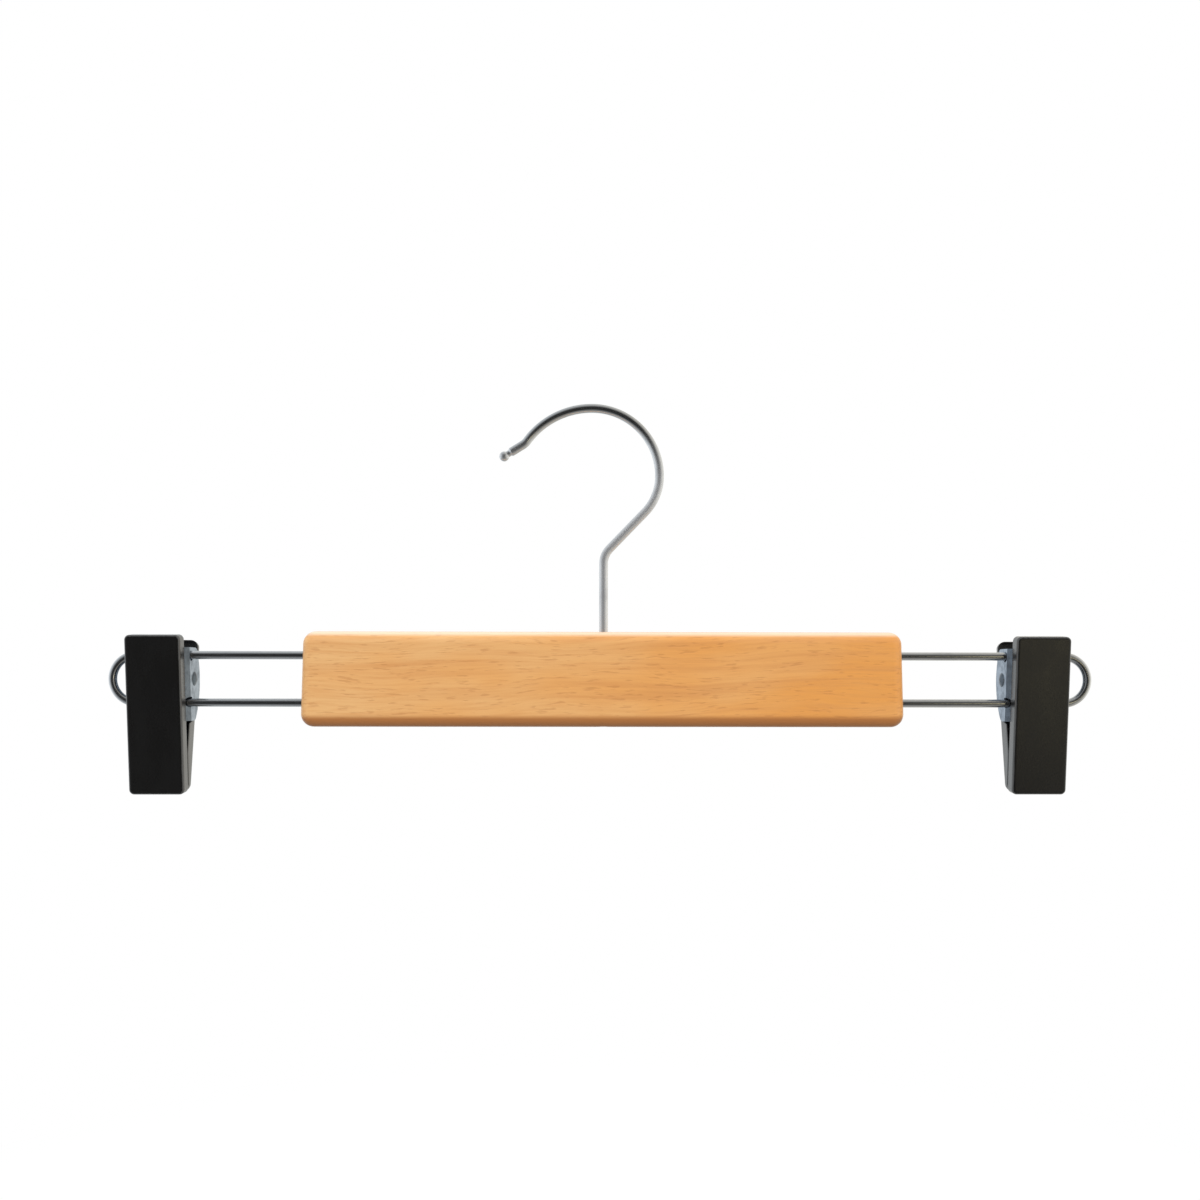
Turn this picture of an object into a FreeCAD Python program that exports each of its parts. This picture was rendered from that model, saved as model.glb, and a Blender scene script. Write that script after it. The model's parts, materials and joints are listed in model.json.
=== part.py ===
import FreeCAD
import Part
import Sketcher

import math
import os
import re

# Skirt hanger: a wooden bar with a swivel hook, a bent rod at each end and a spring clip on each rod.
# Lengths are in millimetres and angles in degrees. +X is to the right, +Y to the back and +Z up.
# The origin is where the hook rests on a rail: on the axis of its stem, at the inside of its wire.

SIZES = {
    # Wooden bar
    "bar_length": 217.0,
    "bar_end_flare": 1.0,
    "bar_height": 34.2,
    "bar_thickness": 13.0,
    "bar_edge_radius": 4.0,
    "bar_corner_extra": 0.6,
    "counterbore_depth": 8.0,
    # Rod loops
    "rod_diameter": 3.0,
    "rod_spacing": 17.1,
    "rod_reach": 69.5,
    "rod_seat_depth": 42.0,
    "glue_gap": 0.05,
    # Swivel hook
    "hook_wire": 3.2,
    "hook_rise": 81.1,
    "hook_offset": 4.2,
    "hook_lower_radius": 19.0,
    "hook_right_radius": 24.45,
    "hook_left_radius": 29.2,
    "hook_left_sweep": 54.0,
    "hook_flank_angle": 46.0,
    "hook_kink_radius": 8.0,
    "tip_bend_radius": 5.0,
    "tip_bend_angle": 22.0,
    "tip_length": 5.0,
    "tip_neck_diameter": 2.3,
    "tip_neck_length": 1.2,
    "tip_ball_diameter": 3.6,
    "head_diameter": 5.0,
    "head_thickness": 1.8,
    "washer_diameter": 6.4,
    "washer_thickness": 1.0,
    "washer_clearance": 0.3,
    "turning_clearance": 0.1,
    # Clip as a whole, about the middle of the two rods
    "clip_width": 19.6,
    "front_lean": 5.0,
    "rear_lean": 10.0,
    "wall_gap": 0.4,
    "wall_rod_gap": 0.6,
    "right_clip_inset": 2.0,
    "stop_reach": 2.55,
    # Covers
    "cover_top": 15.5,
    "cover_bottom": 41.6,
    "rear_top_drop": 1.3,
    "cover_face": 1.4,
    "cover_wall": 0.7,
    "front_wall_depth": 4.6,
    "rear_wall_depth": 2.3,
    "cheek_depth": 5.8,
    "cheek_top": 16.0,
    "cheek_tip": 17.2,
    "cheek_heel": 28.0,
    "front_corner_radius": 1.8,
    "rear_corner_radius": 2.8,
    "cover_edge_radius": 0.8,
    "tray_clearance": 0.3,
    "stake_diameter": 2.4,
    "stake_proud": 0.7,
    "stake_clearance": 0.05,
    "stake_upper": 4.0,
    "stake_lower": 21.0,
    # Jaws
    "jaw_steel": 0.9,
    "ear_clearance": 0.3,
    "ear_rise": 2.8,
    "ear_tail": 6.6,
    "ear_top_reach": 2.4,
    "ear_bottom_reach": 1.0,
    "ear_rear_radius": 24.0,
    "ear_corner_radius": 2.5,
    "ear_step_gap": 0.3,
    "ear_step_angle": 55.0,
    "rod_clearance": 0.1,
    "rod_slot": 0.5,
    "rear_plate_top": 10.2,
    "rear_ear_top": 9.0,
    "rear_ear_bottom": 12.0,
    "rear_lobe": 3.4,
    # Rivet
    "pivot_setback": 3.4,
    "rivet_diameter": 3.0,
    "rivet_head_diameter": 5.2,
    "rivet_head_height": 0.8,
    "rivet_clearance": 0.05,
    # Grip pads
    "pad_inset": 1.2,
    "pad_height": 12.0,
    "pad_gap": 0.3,
    "rib_depth": 0.5,
    # Torsion spring
    "spring_wire": 1.0,
    "coil_clearance": 0.8,
    "spring_pitch": 1.7,
    "spring_front_height": 5.5,
    "spring_rear_height": 8.0,
    "spring_seat_gap": 0.1,
    # Reach of a cut past the solid that it cuts
    "overrun": 2.0,
}
RIB_COUNT = 5
RIB_SHARE = 0.55
SPRING_FULL_TURNS = 4
QUARTERS_PER_TURN = 4
GAP_POINTS_PER_ARC = 6
FRONT = 1
REAR = -1
RIGHT_ANGLE = 90
TOLERANCE = 1e-4
X_AXIS = FreeCAD.Vector(1, 0, 0)
Y_AXIS = FreeCAD.Vector(0, 1, 0)
Z_AXIS = FreeCAD.Vector(0, 0, 1)

doc = FreeCAD.newDocument("skirt_hanger")
sheet = doc.addObject("Spreadsheet::Sheet", "sizes")
for row, (alias, number) in enumerate(SIZES.items(), start=1):
    sheet.set(f"A{row}", alias)
    sheet.set(f"B{row}", str(number))
    sheet.setAlias(f"B{row}", alias)
doc.recompute()

# Places that several pieces share, as formulas of the sizes
SEAT_HEIGHT = (
    "(hook_rise - hook_right_radius + sqrt((hook_right_radius - hook_wire / 2) ^ 2 - hook_offset ^ 2))"
)
BAR_BOTTOM_Z = f"(-{SEAT_HEIGHT} - bar_height)"
MIDDLE_Z = f"(-{SEAT_HEIGHT} - bar_height / 2)"
HEAD_Z = (
    f"({BAR_BOTTOM_Z} + counterbore_depth - washer_thickness - turning_clearance - head_thickness)"
)
BURIED = "(head_thickness + turning_clearance + washer_thickness + bar_height - counterbore_depth)"
COUNTERBORE = "(washer_diameter + 2 * washer_clearance)"
ROD_BEND_X = "(bar_length / 2 + rod_reach - rod_diameter / 2 - rod_spacing / 2)"
JAW_BACK = "(cover_face + jaw_steel)"
TRAY_INSET = "(cover_wall + tray_clearance)"
FRONT_JAW_WIDTH = f"(clip_width - 2 * {TRAY_INSET})"
REAR_JAW_WIDTH = f"({FRONT_JAW_WIDTH} - 2 * (jaw_steel + ear_clearance))"
EAR_WIDTH = "(clip_width + 2 * (ear_clearance + jaw_steel))"
CLIP_STOP = f"({ROD_BEND_X} - {EAR_WIDTH} / 2 + stop_reach)"
CLIP_PLACES = {"left": f"-{CLIP_STOP}", "right": f"({CLIP_STOP} - right_clip_inset)"}
# The outer faces of a clip's covers, level with the middle of the rods: the front cover's walls end short of
# the rods, and the walls of the two covers nearly meet at the foot
FRONT_FACE = (
    "(-rod_diameter / 2 - wall_rod_gap - front_wall_depth / cos(front_lean)"
    " - rod_spacing / 2 * tan(front_lean))"
)
CLIP_DEPTH = (
    "(cover_bottom * (sin(front_lean) + sin(rear_lean)) + front_wall_depth * cos(front_lean)"
    " + rear_wall_depth * cos(rear_lean) + wall_gap)"
)
FACES = {FRONT: FRONT_FACE, REAR: f"({FRONT_FACE} + {CLIP_DEPTH})"}
LEANS = {FRONT: "front_lean", REAR: "rear_lean"}
CORNERS = {FRONT: "front_corner_radius", REAR: "rear_corner_radius"}
EAR_TOP = "(rod_spacing / 2 + ear_rise)"
EAR_BOTTOM = "(rod_spacing / 2 + ear_tail)"
# The front jaw's ears step outwards behind the front cover's walls, and so pass outside the rear cover
STEP_START = "(front_wall_depth + ear_step_gap)"
STEP_END = f"({STEP_START} + ({EAR_WIDTH} - {FRONT_JAW_WIDTH}) / 2 / tan(ear_step_angle))"
STEP_SHIFT = "(jaw_steel * tan(ear_step_angle / 2))"
PAD_LOW = "(cover_bottom - cover_wall - pad_inset)"
PAD_MIDDLE = f"({PAD_LOW} - pad_height / 2)"
SPRING_RADIUS = "(rivet_diameter / 2 + coil_clearance + spring_wire / 2)"


def formula(text):
    """The text with each size written as its cell in the sheet."""
    return re.sub(r"[a-z_]+", lambda word: f"sizes.{word[0]}" if word[0] in SIZES else word[0], str(text))


def value(text):
    """What a formula of sizes comes to."""
    return float(sheet.evalExpression(formula(text)))


def bind(thing, field, text):
    """Ties one field of a document object to a formula of sizes."""
    thing.setExpression(field, formula(text))


# Sketches

def new_body(label, x="0", y="0", z="0", lean="0"):
    """An empty body, set at a place and leaned about the X axis."""
    body = doc.addObject("PartDesign::Body", label)
    body.Label = label
    body.Placement = FreeCAD.Placement(FreeCAD.Vector(), FreeCAD.Rotation(X_AXIS, 1))
    for axis, text in zip("xyz", (x, y, z)):
        bind(body, f"Placement.Base.{axis}", text)
    bind(body, "Placement.Rotation.Angle", lean)
    return body


def new_sketch(body, role, offset="0"):
    """A sketch on one of the body's own planes, moved along the plane's normal."""
    sketch = body.newObject("Sketcher::SketchObject", "sketch")
    plane = next(plane for plane in body.Origin.OriginFeatures if plane.Role == role)
    sketch.AttachmentSupport = [(plane, "")]
    sketch.MapMode = "FlatFace"
    bind(sketch, "AttachmentOffset.Base.z", offset)
    return sketch


def constrain(sketch, text, *constraint):
    """Adds a constraint whose size is a formula."""
    index = sketch.addConstraint(Sketcher.Constraint(*constraint, value(text)))
    name = f"size{index}"
    sketch.renameConstraint(index, name)
    bind(sketch, f"Constraints.{name}", text)


def pin_point(sketch, edge, end, place):
    """Ties a point of an edge to a place, a pair of formulas."""
    constrain(sketch, place[0], "DistanceX", -1, 1, edge, end)
    constrain(sketch, place[1], "DistanceY", -1, 1, edge, end)


def draw_circle(sketch, place, radius):
    """A circle of a radius about a place."""
    centre = FreeCAD.Vector(value(place[0]), value(place[1]), 0)
    edge = sketch.addGeometry(Part.Circle(centre, Z_AXIS, value(radius)))
    pin_point(sketch, edge, 3, place)
    constrain(sketch, radius, "Radius", edge)


def arc_between(start, end, radius, turn):
    """The shorter arc from start to end, turning left for a turn of 1 and right for -1."""
    chord = end - start
    across = FreeCAD.Vector(-chord.y, chord.x, 0).normalize()
    rise = math.sqrt(radius ** 2 - (chord.Length / 2) ** 2)
    centre = (start + end) / 2 + across * (rise * turn)
    first, last = (start, end) if turn > 0 else (end, start)
    angles = [math.atan2(point.y - centre.y, point.x - centre.x) for point in (first, last)]
    if angles[1] <= angles[0]:
        angles[1] += 2 * math.pi
    return Part.ArcOfCircle(Part.Circle(centre, Z_AXIS, radius), *angles)


def draw_outline(sketch, corners, arcs=None, closed=True):
    """Joins corners by lines, or by an arc where a radius and a turn are given for a corner's edge."""
    arcs = arcs or {}
    points = [FreeCAD.Vector(value(x), value(y), 0) for x, y in corners]
    ends = []
    for index in range(len(points) if closed else len(points) - 1):
        start = points[index]
        end = points[(index + 1) % len(points)]
        if index in arcs:
            radius, turn = arcs[index]
            edge = sketch.addGeometry(arc_between(start, end, value(radius), turn))
            ends.append((edge, 1, 2) if turn > 0 else (edge, 2, 1))
        else:
            ends.append((sketch.addGeometry(Part.LineSegment(start, end)), 1, 2))
    for index, (edge, first, last) in enumerate(ends):
        pin_point(sketch, edge, first, corners[index])
        if closed or index + 1 < len(ends):
            following, begin, _ = ends[(index + 1) % len(ends)]
            sketch.addConstraint(Sketcher.Constraint("Coincident", edge, last, following, begin))
        else:
            pin_point(sketch, edge, last, corners[-1])
    for index, (radius, turn) in arcs.items():
        constrain(sketch, radius, "Radius", ends[index][0])


def draw_rounded_box(sketch, left, low, right, high, radius):
    """An upright rectangle with a quarter circle at each corner."""
    draw_outline(
        sketch,
        [
            (f"{left} + {radius}", low),
            (f"{right} - {radius}", low),
            (right, f"{low} + {radius}"),
            (right, f"{high} - {radius}"),
            (f"{right} - {radius}", high),
            (f"{left} + {radius}", high),
            (left, f"{high} - {radius}"),
            (left, f"{low} + {radius}"),
        ],
        arcs={corner: (radius, 1) for corner in (1, 3, 5, 7)},
    )


# Features

def add_pad(body, sketch, length, reverse=False, symmetric=False):
    """Grows a sketch along its normal, against it or to both sides."""
    pad = body.newObject("PartDesign::Pad", "pad")
    pad.Profile = sketch
    pad.Reversed = reverse
    pad.SideType = "Symmetric" if symmetric else "One side"
    bind(pad, "Length", length)
    doc.recompute()
    return pad


def add_pocket(body, sketch, length=None, reverse=False):
    """Cuts a sketch right through against its normal, or by a length to both sides, and tests the cut."""
    before = body.Shape.Volume
    pocket = body.newObject("PartDesign::Pocket", "pocket")
    pocket.Profile = sketch
    pocket.Reversed = reverse
    if length is None:
        pocket.Type = "ThroughAll"
    else:
        pocket.SideType = "Symmetric"
        bind(pocket, "Length", length)
    doc.recompute()
    if body.Shape.Volume >= before:
        raise ValueError(f"a pocket of {body.Label} cuts nothing")
    return pocket


def add_fillet(body, radius, wanted):
    """Rounds the edges of the body's last feature that a test picks."""
    base = body.Tip
    names = [f"Edge{index}" for index, edge in enumerate(base.Shape.Edges, start=1) if wanted(edge)]
    fillet = body.newObject("PartDesign::Fillet", "fillet")
    fillet.Base = (base, names)
    bind(fillet, "Radius", radius)
    doc.recompute()
    return fillet


def runs_along(edge, axis):
    """Whether an edge is straight and runs along an axis."""
    return isinstance(edge.Curve, Part.Line) and abs(abs(edge.Curve.Direction.dot(axis)) - 1) < TOLERANCE


def lies_at(edge, axis, place):
    """Whether an edge lies whole in the plane at a place along an axis."""
    return all(abs(vertex.Point.dot(axis) - place) < TOLERANCE for vertex in edge.Vertexes)


def add_pipe(body, ring, path):
    """Carries a ring along every edge of a path."""
    pipe = body.newObject("PartDesign::AdditivePipe", "pipe")
    pipe.Profile = ring
    pipe.Spine = (path, [f"Edge{index}" for index in range(1, len(path.Shape.Edges) + 1)])
    doc.recompute()
    return pipe


def add_turned(body, sketch):
    """Turns a sketch once round its own first axis."""
    turned = body.newObject("PartDesign::Revolution", "turned")
    turned.Profile = sketch
    turned.ReferenceAxis = (sketch, ["H_Axis"])
    doc.recompute()
    return turned


# Wooden bar

def make_bar():
    """A board with rounded edges, bored for the rods and for the hook."""
    body = new_body("wooden_bar", z=MIDDLE_Z)
    outline = new_sketch(body, "XZ_Plane")
    draw_outline(outline, [
        ("-bar_length / 2", "-bar_height / 2"),
        ("bar_length / 2", "-bar_height / 2"),
        ("bar_length / 2 - bar_end_flare", "bar_height / 2"),
        ("-bar_length / 2 + bar_end_flare", "bar_height / 2"),
    ])
    add_pad(body, outline, "bar_thickness", symmetric=True)
    add_fillet(body, "bar_edge_radius + bar_corner_extra", lambda edge: runs_along(edge, Y_AXIS))
    half = value("bar_thickness / 2")
    add_fillet(
        body, "bar_edge_radius",
        lambda edge: lies_at(edge, Y_AXIS, half) or lies_at(edge, Y_AXIS, -half),
    )
    for side, reverse in ((1, True), (-1, False)):
        holes = new_sketch(body, "YZ_Plane", f"{side} * (bar_length / 2 - rod_seat_depth)")
        for height in ("rod_spacing / 2", "-rod_spacing / 2"):
            draw_circle(holes, ("0", height), "rod_diameter / 2 + glue_gap")
        add_pocket(body, holes, reverse=reverse)
    bore = new_sketch(body, "XY_Plane")
    draw_circle(bore, ("0", "0"), "hook_wire / 2 + turning_clearance")
    add_pocket(body, bore, "bar_height + 2 * overrun")
    counterbore = new_sketch(body, "XY_Plane", "counterbore_depth - bar_height / 2")
    draw_circle(counterbore, ("0", "0"), f"{COUNTERBORE} / 2")
    add_pocket(body, counterbore)
    return body


# Rod loops

def make_rod_loop(name, side):
    """A rod bent back on itself, with both ends in the bar."""
    body = new_body(f"{name}_rod_loop", z=MIDDLE_Z)
    inner = f"{side} * (bar_length / 2 - rod_seat_depth)"
    bend = f"{side} * {ROD_BEND_X}"
    path = new_sketch(body, "XZ_Plane")
    draw_outline(
        path,
        [
            (inner, "rod_spacing / 2"),
            (bend, "rod_spacing / 2"),
            (f"{bend} + {side} * rod_spacing / 2", "0"),
            (bend, "-rod_spacing / 2"),
            (inner, "-rod_spacing / 2"),
        ],
        arcs={1: ("rod_spacing / 2", -side), 2: ("rod_spacing / 2", -side)},
        closed=False,
    )
    ring = new_sketch(body, "YZ_Plane", inner)
    draw_circle(ring, ("0", "rod_spacing / 2"), "rod_diameter / 2")
    doc.recompute()
    add_pipe(body, ring, path)
    return body


# Swivel hook

def make_hook():
    """A wire with a headed foot, a stem, a slanted neck, three arcs and a tip bent outwards to a ball."""
    body = new_body("swivel_hook", z=HEAD_Z)
    top = f"({BURIED} + hook_rise)"
    right_centre = f"({top} - hook_right_radius)"
    left_centre = f"({top} - hook_left_radius)"
    lower_x = "(hook_right_radius - hook_lower_radius - hook_offset)"
    neck_x = f"({lower_x} + hook_lower_radius * sin(hook_flank_angle))"
    neck_z = f"({right_centre} - hook_lower_radius * cos(hook_flank_angle))"
    kink_z = f"({neck_z} - {neck_x} * tan(hook_flank_angle))"
    kink_run = f"(hook_kink_radius * tan(({RIGHT_ANGLE} - hook_flank_angle) / 2))"
    left_x = "(-hook_offset - hook_left_radius * sin(hook_left_sweep))"
    left_z = f"({left_centre} + hook_left_radius * cos(hook_left_sweep))"
    tip_angle = "(hook_left_sweep - tip_bend_angle)"
    bend_x = f"({left_x} + tip_bend_radius * (sin({tip_angle}) - sin(hook_left_sweep)))"
    bend_z = f"({left_z} + tip_bend_radius * (cos(hook_left_sweep) - cos({tip_angle})))"
    end_x = f"{bend_x} - tip_length * cos({tip_angle})"
    end_z = f"{bend_z} - tip_length * sin({tip_angle})"
    path = new_sketch(body, "XZ_Plane")
    draw_outline(
        path,
        [
            ("0", "0"),
            ("0", f"{kink_z} - {kink_run}"),
            (f"{kink_run} * cos(hook_flank_angle)", f"{kink_z} + {kink_run} * sin(hook_flank_angle)"),
            (neck_x, neck_z),
            ("hook_right_radius - hook_offset", right_centre),
            ("-hook_offset", top),
            (left_x, left_z),
            (bend_x, bend_z),
            (end_x, end_z),
        ],
        arcs={
            1: ("hook_kink_radius", -1),
            3: ("hook_lower_radius", 1),
            4: ("hook_right_radius", 1),
            5: ("hook_left_radius", 1),
            6: ("tip_bend_radius", -1),
        },
        closed=False,
    )
    ring = new_sketch(body, "XY_Plane")
    draw_circle(ring, ("0", "0"), "hook_wire / 2")
    doc.recompute()
    add_pipe(body, ring, path)
    chord = "sqrt(tip_ball_diameter ^ 2 - tip_neck_diameter ^ 2)"
    tip = new_sketch(body, "XZ_Plane")
    tip.AttachmentOffset = FreeCAD.Placement(FreeCAD.Vector(), FreeCAD.Rotation(Z_AXIS, 1))
    bind(tip, "AttachmentOffset.Base.x", end_x)
    bind(tip, "AttachmentOffset.Base.y", end_z)
    bind(tip, "AttachmentOffset.Rotation.Angle", f"2 * {RIGHT_ANGLE} + {tip_angle}")
    draw_outline(
        tip,
        [
            ("0", "0"),
            ("tip_neck_length + tip_ball_diameter", "0"),
            (f"tip_neck_length + (tip_ball_diameter - {chord}) / 2", "tip_neck_diameter / 2"),
            ("0", "tip_neck_diameter / 2"),
        ],
        arcs={1: ("tip_ball_diameter / 2", 1)},
    )
    add_turned(body, tip)
    head = new_sketch(body, "XY_Plane")
    draw_circle(head, ("0", "0"), "head_diameter / 2")
    add_pad(body, head, "head_thickness")
    return body


def make_washer():
    """The washer that the hook's head turns on, against the roof of the counterbore."""
    body = new_body("hook_washer", z=f"{BAR_BOTTOM_Z} + counterbore_depth - washer_thickness")
    ring = new_sketch(body, "XY_Plane")
    draw_circle(ring, ("0", "0"), "washer_diameter / 2")
    draw_circle(ring, ("0", "0"), "hook_wire / 2 + turning_clearance")
    add_pad(body, ring, "washer_thickness")
    return body


# Clips
# The pieces of a jaw share a frame that leans with it. Its origin is on the cover's outer face, level with
# the middle of the rods. side is FRONT or REAR, and side times the frame's Y points into the clip.

def new_jaw_body(label, place, side):
    """An empty body in the leaning frame of a jaw."""
    return new_body(label, place, FACES[side], MIDDLE_Z, f"({side}) * {LEANS[side]}")


def in_jaw(side, y, z):
    """A place of the upright clip, in the leaning frame of a jaw."""
    depth = f"(({y}) - {FACES[side]})"
    lean = LEANS[side]
    return (
        f"{depth} * cos({lean}) + ({side}) * ({z}) * sin({lean})",
        f"({z}) * cos({lean}) - ({side}) * {depth} * sin({lean})",
    )


def on_jaw(side, z):
    """The place on a jaw's inner face that is at a height of the upright clip."""
    lean = LEANS[side]
    return (f"({side}) * {JAW_BACK}", f"(({z}) - {JAW_BACK} * sin({lean})) / cos({lean})")


def jaw_depth(side, z):
    """How far back a jaw's inner face is at a height of the upright clip."""
    return f"({FACES[side]} + ({side}) * ({JAW_BACK} / cos({LEANS[side]}) - ({z}) * tan({LEANS[side]})))"


def cover_top(side):
    """How far a jaw's cover reaches up."""
    return "cover_top" if side == FRONT else "(cover_top - rear_top_drop)"


def cut_cheeks(body):
    """Cuts the rear cover's walls back, but for a cheek at each side that deepens up to its heel."""
    rim = new_sketch(body, "YZ_Plane")
    draw_outline(rim, [
        ("-rear_wall_depth", "cover_top"),
        ("-cheek_depth - overrun", "cover_top"),
        ("-cheek_depth - overrun", "-cover_bottom"),
        ("-rear_wall_depth", "-cover_bottom"),
        ("-cheek_depth", "-cheek_heel"),
        ("-cheek_depth", "-cheek_tip"),
        ("-rear_wall_depth", "-cheek_top"),
    ])
    add_pocket(body, rim, "clip_width + 2 * overrun")


def make_cover(name, place, side, wall_depth):
    """A moulded tray with rounded edges, and two stakes that hold the jaw's plate in it."""
    body = new_jaw_body(name, place, side)
    top = cover_top(side)
    outline = new_sketch(body, "XZ_Plane")
    draw_rounded_box(outline, "-clip_width / 2", "-cover_bottom", "clip_width / 2", top, CORNERS[side])
    add_pad(body, outline, wall_depth, reverse=side == FRONT)
    if side == REAR:
        cut_cheeks(body)
    add_fillet(body, "cover_edge_radius", lambda edge: lies_at(edge, Y_AXIS, 0))
    floor = f"-({side}) * cover_face"
    hollow = new_sketch(body, "XZ_Plane", floor)
    draw_rounded_box(
        hollow,
        "cover_wall - clip_width / 2",
        "cover_wall - cover_bottom",
        "clip_width / 2 - cover_wall",
        f"{top} - cover_wall",
        f"({CORNERS[side]} - cover_wall)",
    )
    add_pocket(body, hollow, reverse=side == REAR)
    stakes = new_sketch(body, "XZ_Plane", floor)
    for height in ("stake_upper", "-stake_lower"):
        draw_circle(stakes, ("0", height), "stake_diameter / 2")
    add_pad(body, stakes, "jaw_steel + stake_proud", reverse=side == FRONT)
    return body


def cut_shoulders(body, half, ear_half):
    """Cuts a jaw's sides back to its plate's half width, up to the slope where its ears step outwards."""
    shoulders = new_sketch(body, "XY_Plane")
    corners = [
        (half, "-overrun"),
        (f"{ear_half} + overrun", "-overrun"),
        (f"{ear_half} + overrun", STEP_END),
        (ear_half, STEP_END),
        (half, STEP_START),
    ]
    for way in (1, -1):
        draw_outline(shoulders, [(f"({way}) * ({x})", y) for x, y in corners])
    add_pocket(body, shoulders, "2 * (cover_top + cover_bottom)")


def draw_rod_window(sketch, way):
    """A hole for a rod, a little taller towards the other rod so that it runs onto the rod's bend."""
    y, z = in_jaw(FRONT, "0", f"({way}) * (rod_spacing - rod_slot) / 2")
    half_width = "(rod_diameter / 2 + rod_clearance)"
    half_height = f"({half_width} + rod_slot / 2)"
    draw_rounded_box(
        sketch,
        f"{y} - {half_width}",
        f"{z} - {half_height}",
        f"{y} + {half_width}",
        f"{z} + {half_height}",
        "rod_diameter / 2",
    )


def make_jaw(name, place, side, top, width, ear_width, ear, arcs=None):
    """A steel stamping: a plate that lies in its cover, and two ears bent up from the plate's sides."""
    body = new_jaw_body(name, place, side)
    half = f"({width} / 2)"
    ear_half = f"({ear_width} / 2)"
    bottom = f"({TRAY_INSET} - cover_bottom)"
    face = f"({side}) * cover_face"
    back = f"({side}) * {JAW_BACK}"
    profile = new_sketch(body, "YZ_Plane")
    draw_outline(profile, [(face, top), (face, bottom), (back, bottom), *ear, (back, top)], arcs)
    add_pad(body, profile, ear_width, symmetric=True)
    inner = [(f"{half} - jaw_steel", back)]
    if side == FRONT:
        cut_shoulders(body, half, ear_half)
        inner.append((f"{half} - jaw_steel", f"{STEP_START} + {STEP_SHIFT}"))
        inner.append((f"{ear_half} - jaw_steel", f"{STEP_END} + {STEP_SHIFT}"))
    inner.append((f"{ear_half} - jaw_steel", f"({side}) * ({CLIP_DEPTH} + overrun)"))
    add_fillet(
        body, f"{CORNERS[side]} - {TRAY_INSET}",
        lambda edge: runs_along(edge, Y_AXIS)
        and (lies_at(edge, Z_AXIS, value(top)) or lies_at(edge, Z_AXIS, value(bottom))),
    )
    tips = [Part.Vertex(0, value(y), value(z)) for y, z in ear[1:-1]]
    add_fillet(
        body, "ear_corner_radius",
        lambda edge: runs_along(edge, X_AXIS) and any(tip.distToShape(edge)[0] < TOLERANCE for tip in tips),
    )
    between = new_sketch(body, "XY_Plane")
    draw_outline(between, inner + [(f"-({x})", y) for x, y in reversed(inner)])
    add_pocket(body, between, "2 * (cover_top + cover_bottom)")
    pivot = new_sketch(body, "YZ_Plane")
    draw_circle(pivot, in_jaw(side, "pivot_setback", "0"), "rivet_diameter / 2 + rivet_clearance")
    if side == FRONT:
        draw_rod_window(pivot, 1)
        draw_rod_window(pivot, -1)
    add_pocket(body, pivot, f"{ear_width} + 2 * overrun")
    holes = new_sketch(body, "XZ_Plane")
    for height in ("stake_upper", "-stake_lower"):
        draw_circle(holes, ("0", height), "stake_diameter / 2 + stake_clearance")
    add_pocket(body, holes, reverse=side == REAR)
    return body


def make_pad(name, place, side):
    """A rubber wedge on a jaw's inner face, with ribs across its upright grip face."""
    body = new_jaw_body(name, place, side)
    level = f"-{PAD_MIDDLE}"
    grip = f"({jaw_depth(FRONT, level)} + {jaw_depth(REAR, level)}) / 2 - ({side}) * pad_gap / 2"
    groove = f"{grip} - ({side}) * rib_depth"
    corners = [on_jaw(side, f"-{PAD_LOW}")]
    for rib in range(RIB_COUNT):
        low = f"pad_height * {rib} / {RIB_COUNT - 1 + RIB_SHARE} - {PAD_LOW}"
        high = f"pad_height * {rib + RIB_SHARE} / {RIB_COUNT - 1 + RIB_SHARE} - {PAD_LOW}"
        if rib > 0:
            corners.append(in_jaw(side, groove, low))
        corners.append(in_jaw(side, grip, low))
        corners.append(in_jaw(side, grip, high))
        if rib + 1 < RIB_COUNT:
            corners.append(in_jaw(side, groove, high))
    corners.append(on_jaw(side, f"pad_height - {PAD_LOW}"))
    profile = new_sketch(body, "YZ_Plane")
    draw_outline(profile, corners)
    add_pad(body, profile, REAR_JAW_WIDTH, symmetric=True)
    return body


def make_rivet(name, place):
    """The pivot, with a domed head outside each ear of the front jaw."""
    body = new_body(name, place, "pivot_setback", MIDDLE_Z)
    seat = f"({EAR_WIDTH} / 2)"
    dome = "(rivet_head_height / 2 + rivet_head_diameter ^ 2 / (8 * rivet_head_height))"
    half = [
        (f"{seat} + rivet_head_height", "0"),
        (seat, "rivet_head_diameter / 2"),
        (seat, "rivet_diameter / 2"),
    ]
    profile = new_sketch(body, "XY_Plane")
    draw_outline(
        profile,
        half + [(f"-({x})", y) for x, y in reversed(half)],
        arcs={0: (dome, 1), 4: (dome, 1)},
    )
    add_turned(body, profile)
    return body


# Torsion spring

def biarc(start, start_heading, end, end_heading):
    """Two arcs that leave start and reach end along unit headings and meet smoothly."""
    span = end - start
    both = start_heading + end_heading
    spread = 2 * (1 - start_heading.dot(end_heading))
    reach = (math.sqrt(span.dot(both) ** 2 + spread * span.dot(span)) - span.dot(both)) / spread
    middle = (start + end + (start_heading - end_heading) * reach) / 2
    arcs = []
    for first, last, corner in (
        (start, middle, start + start_heading * reach),
        (middle, end, end - end_heading * reach),
    ):
        chord_middle = (first + last) / 2
        rise = corner - chord_middle
        half_turn = math.atan2(rise.Length, (last - first).Length / 2)
        crown = chord_middle + rise.normalize() * ((last - first).Length / 2 * math.tan(half_turn / 2))
        arcs.append(Part.Arc(first, crown, last))
    return arcs


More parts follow.
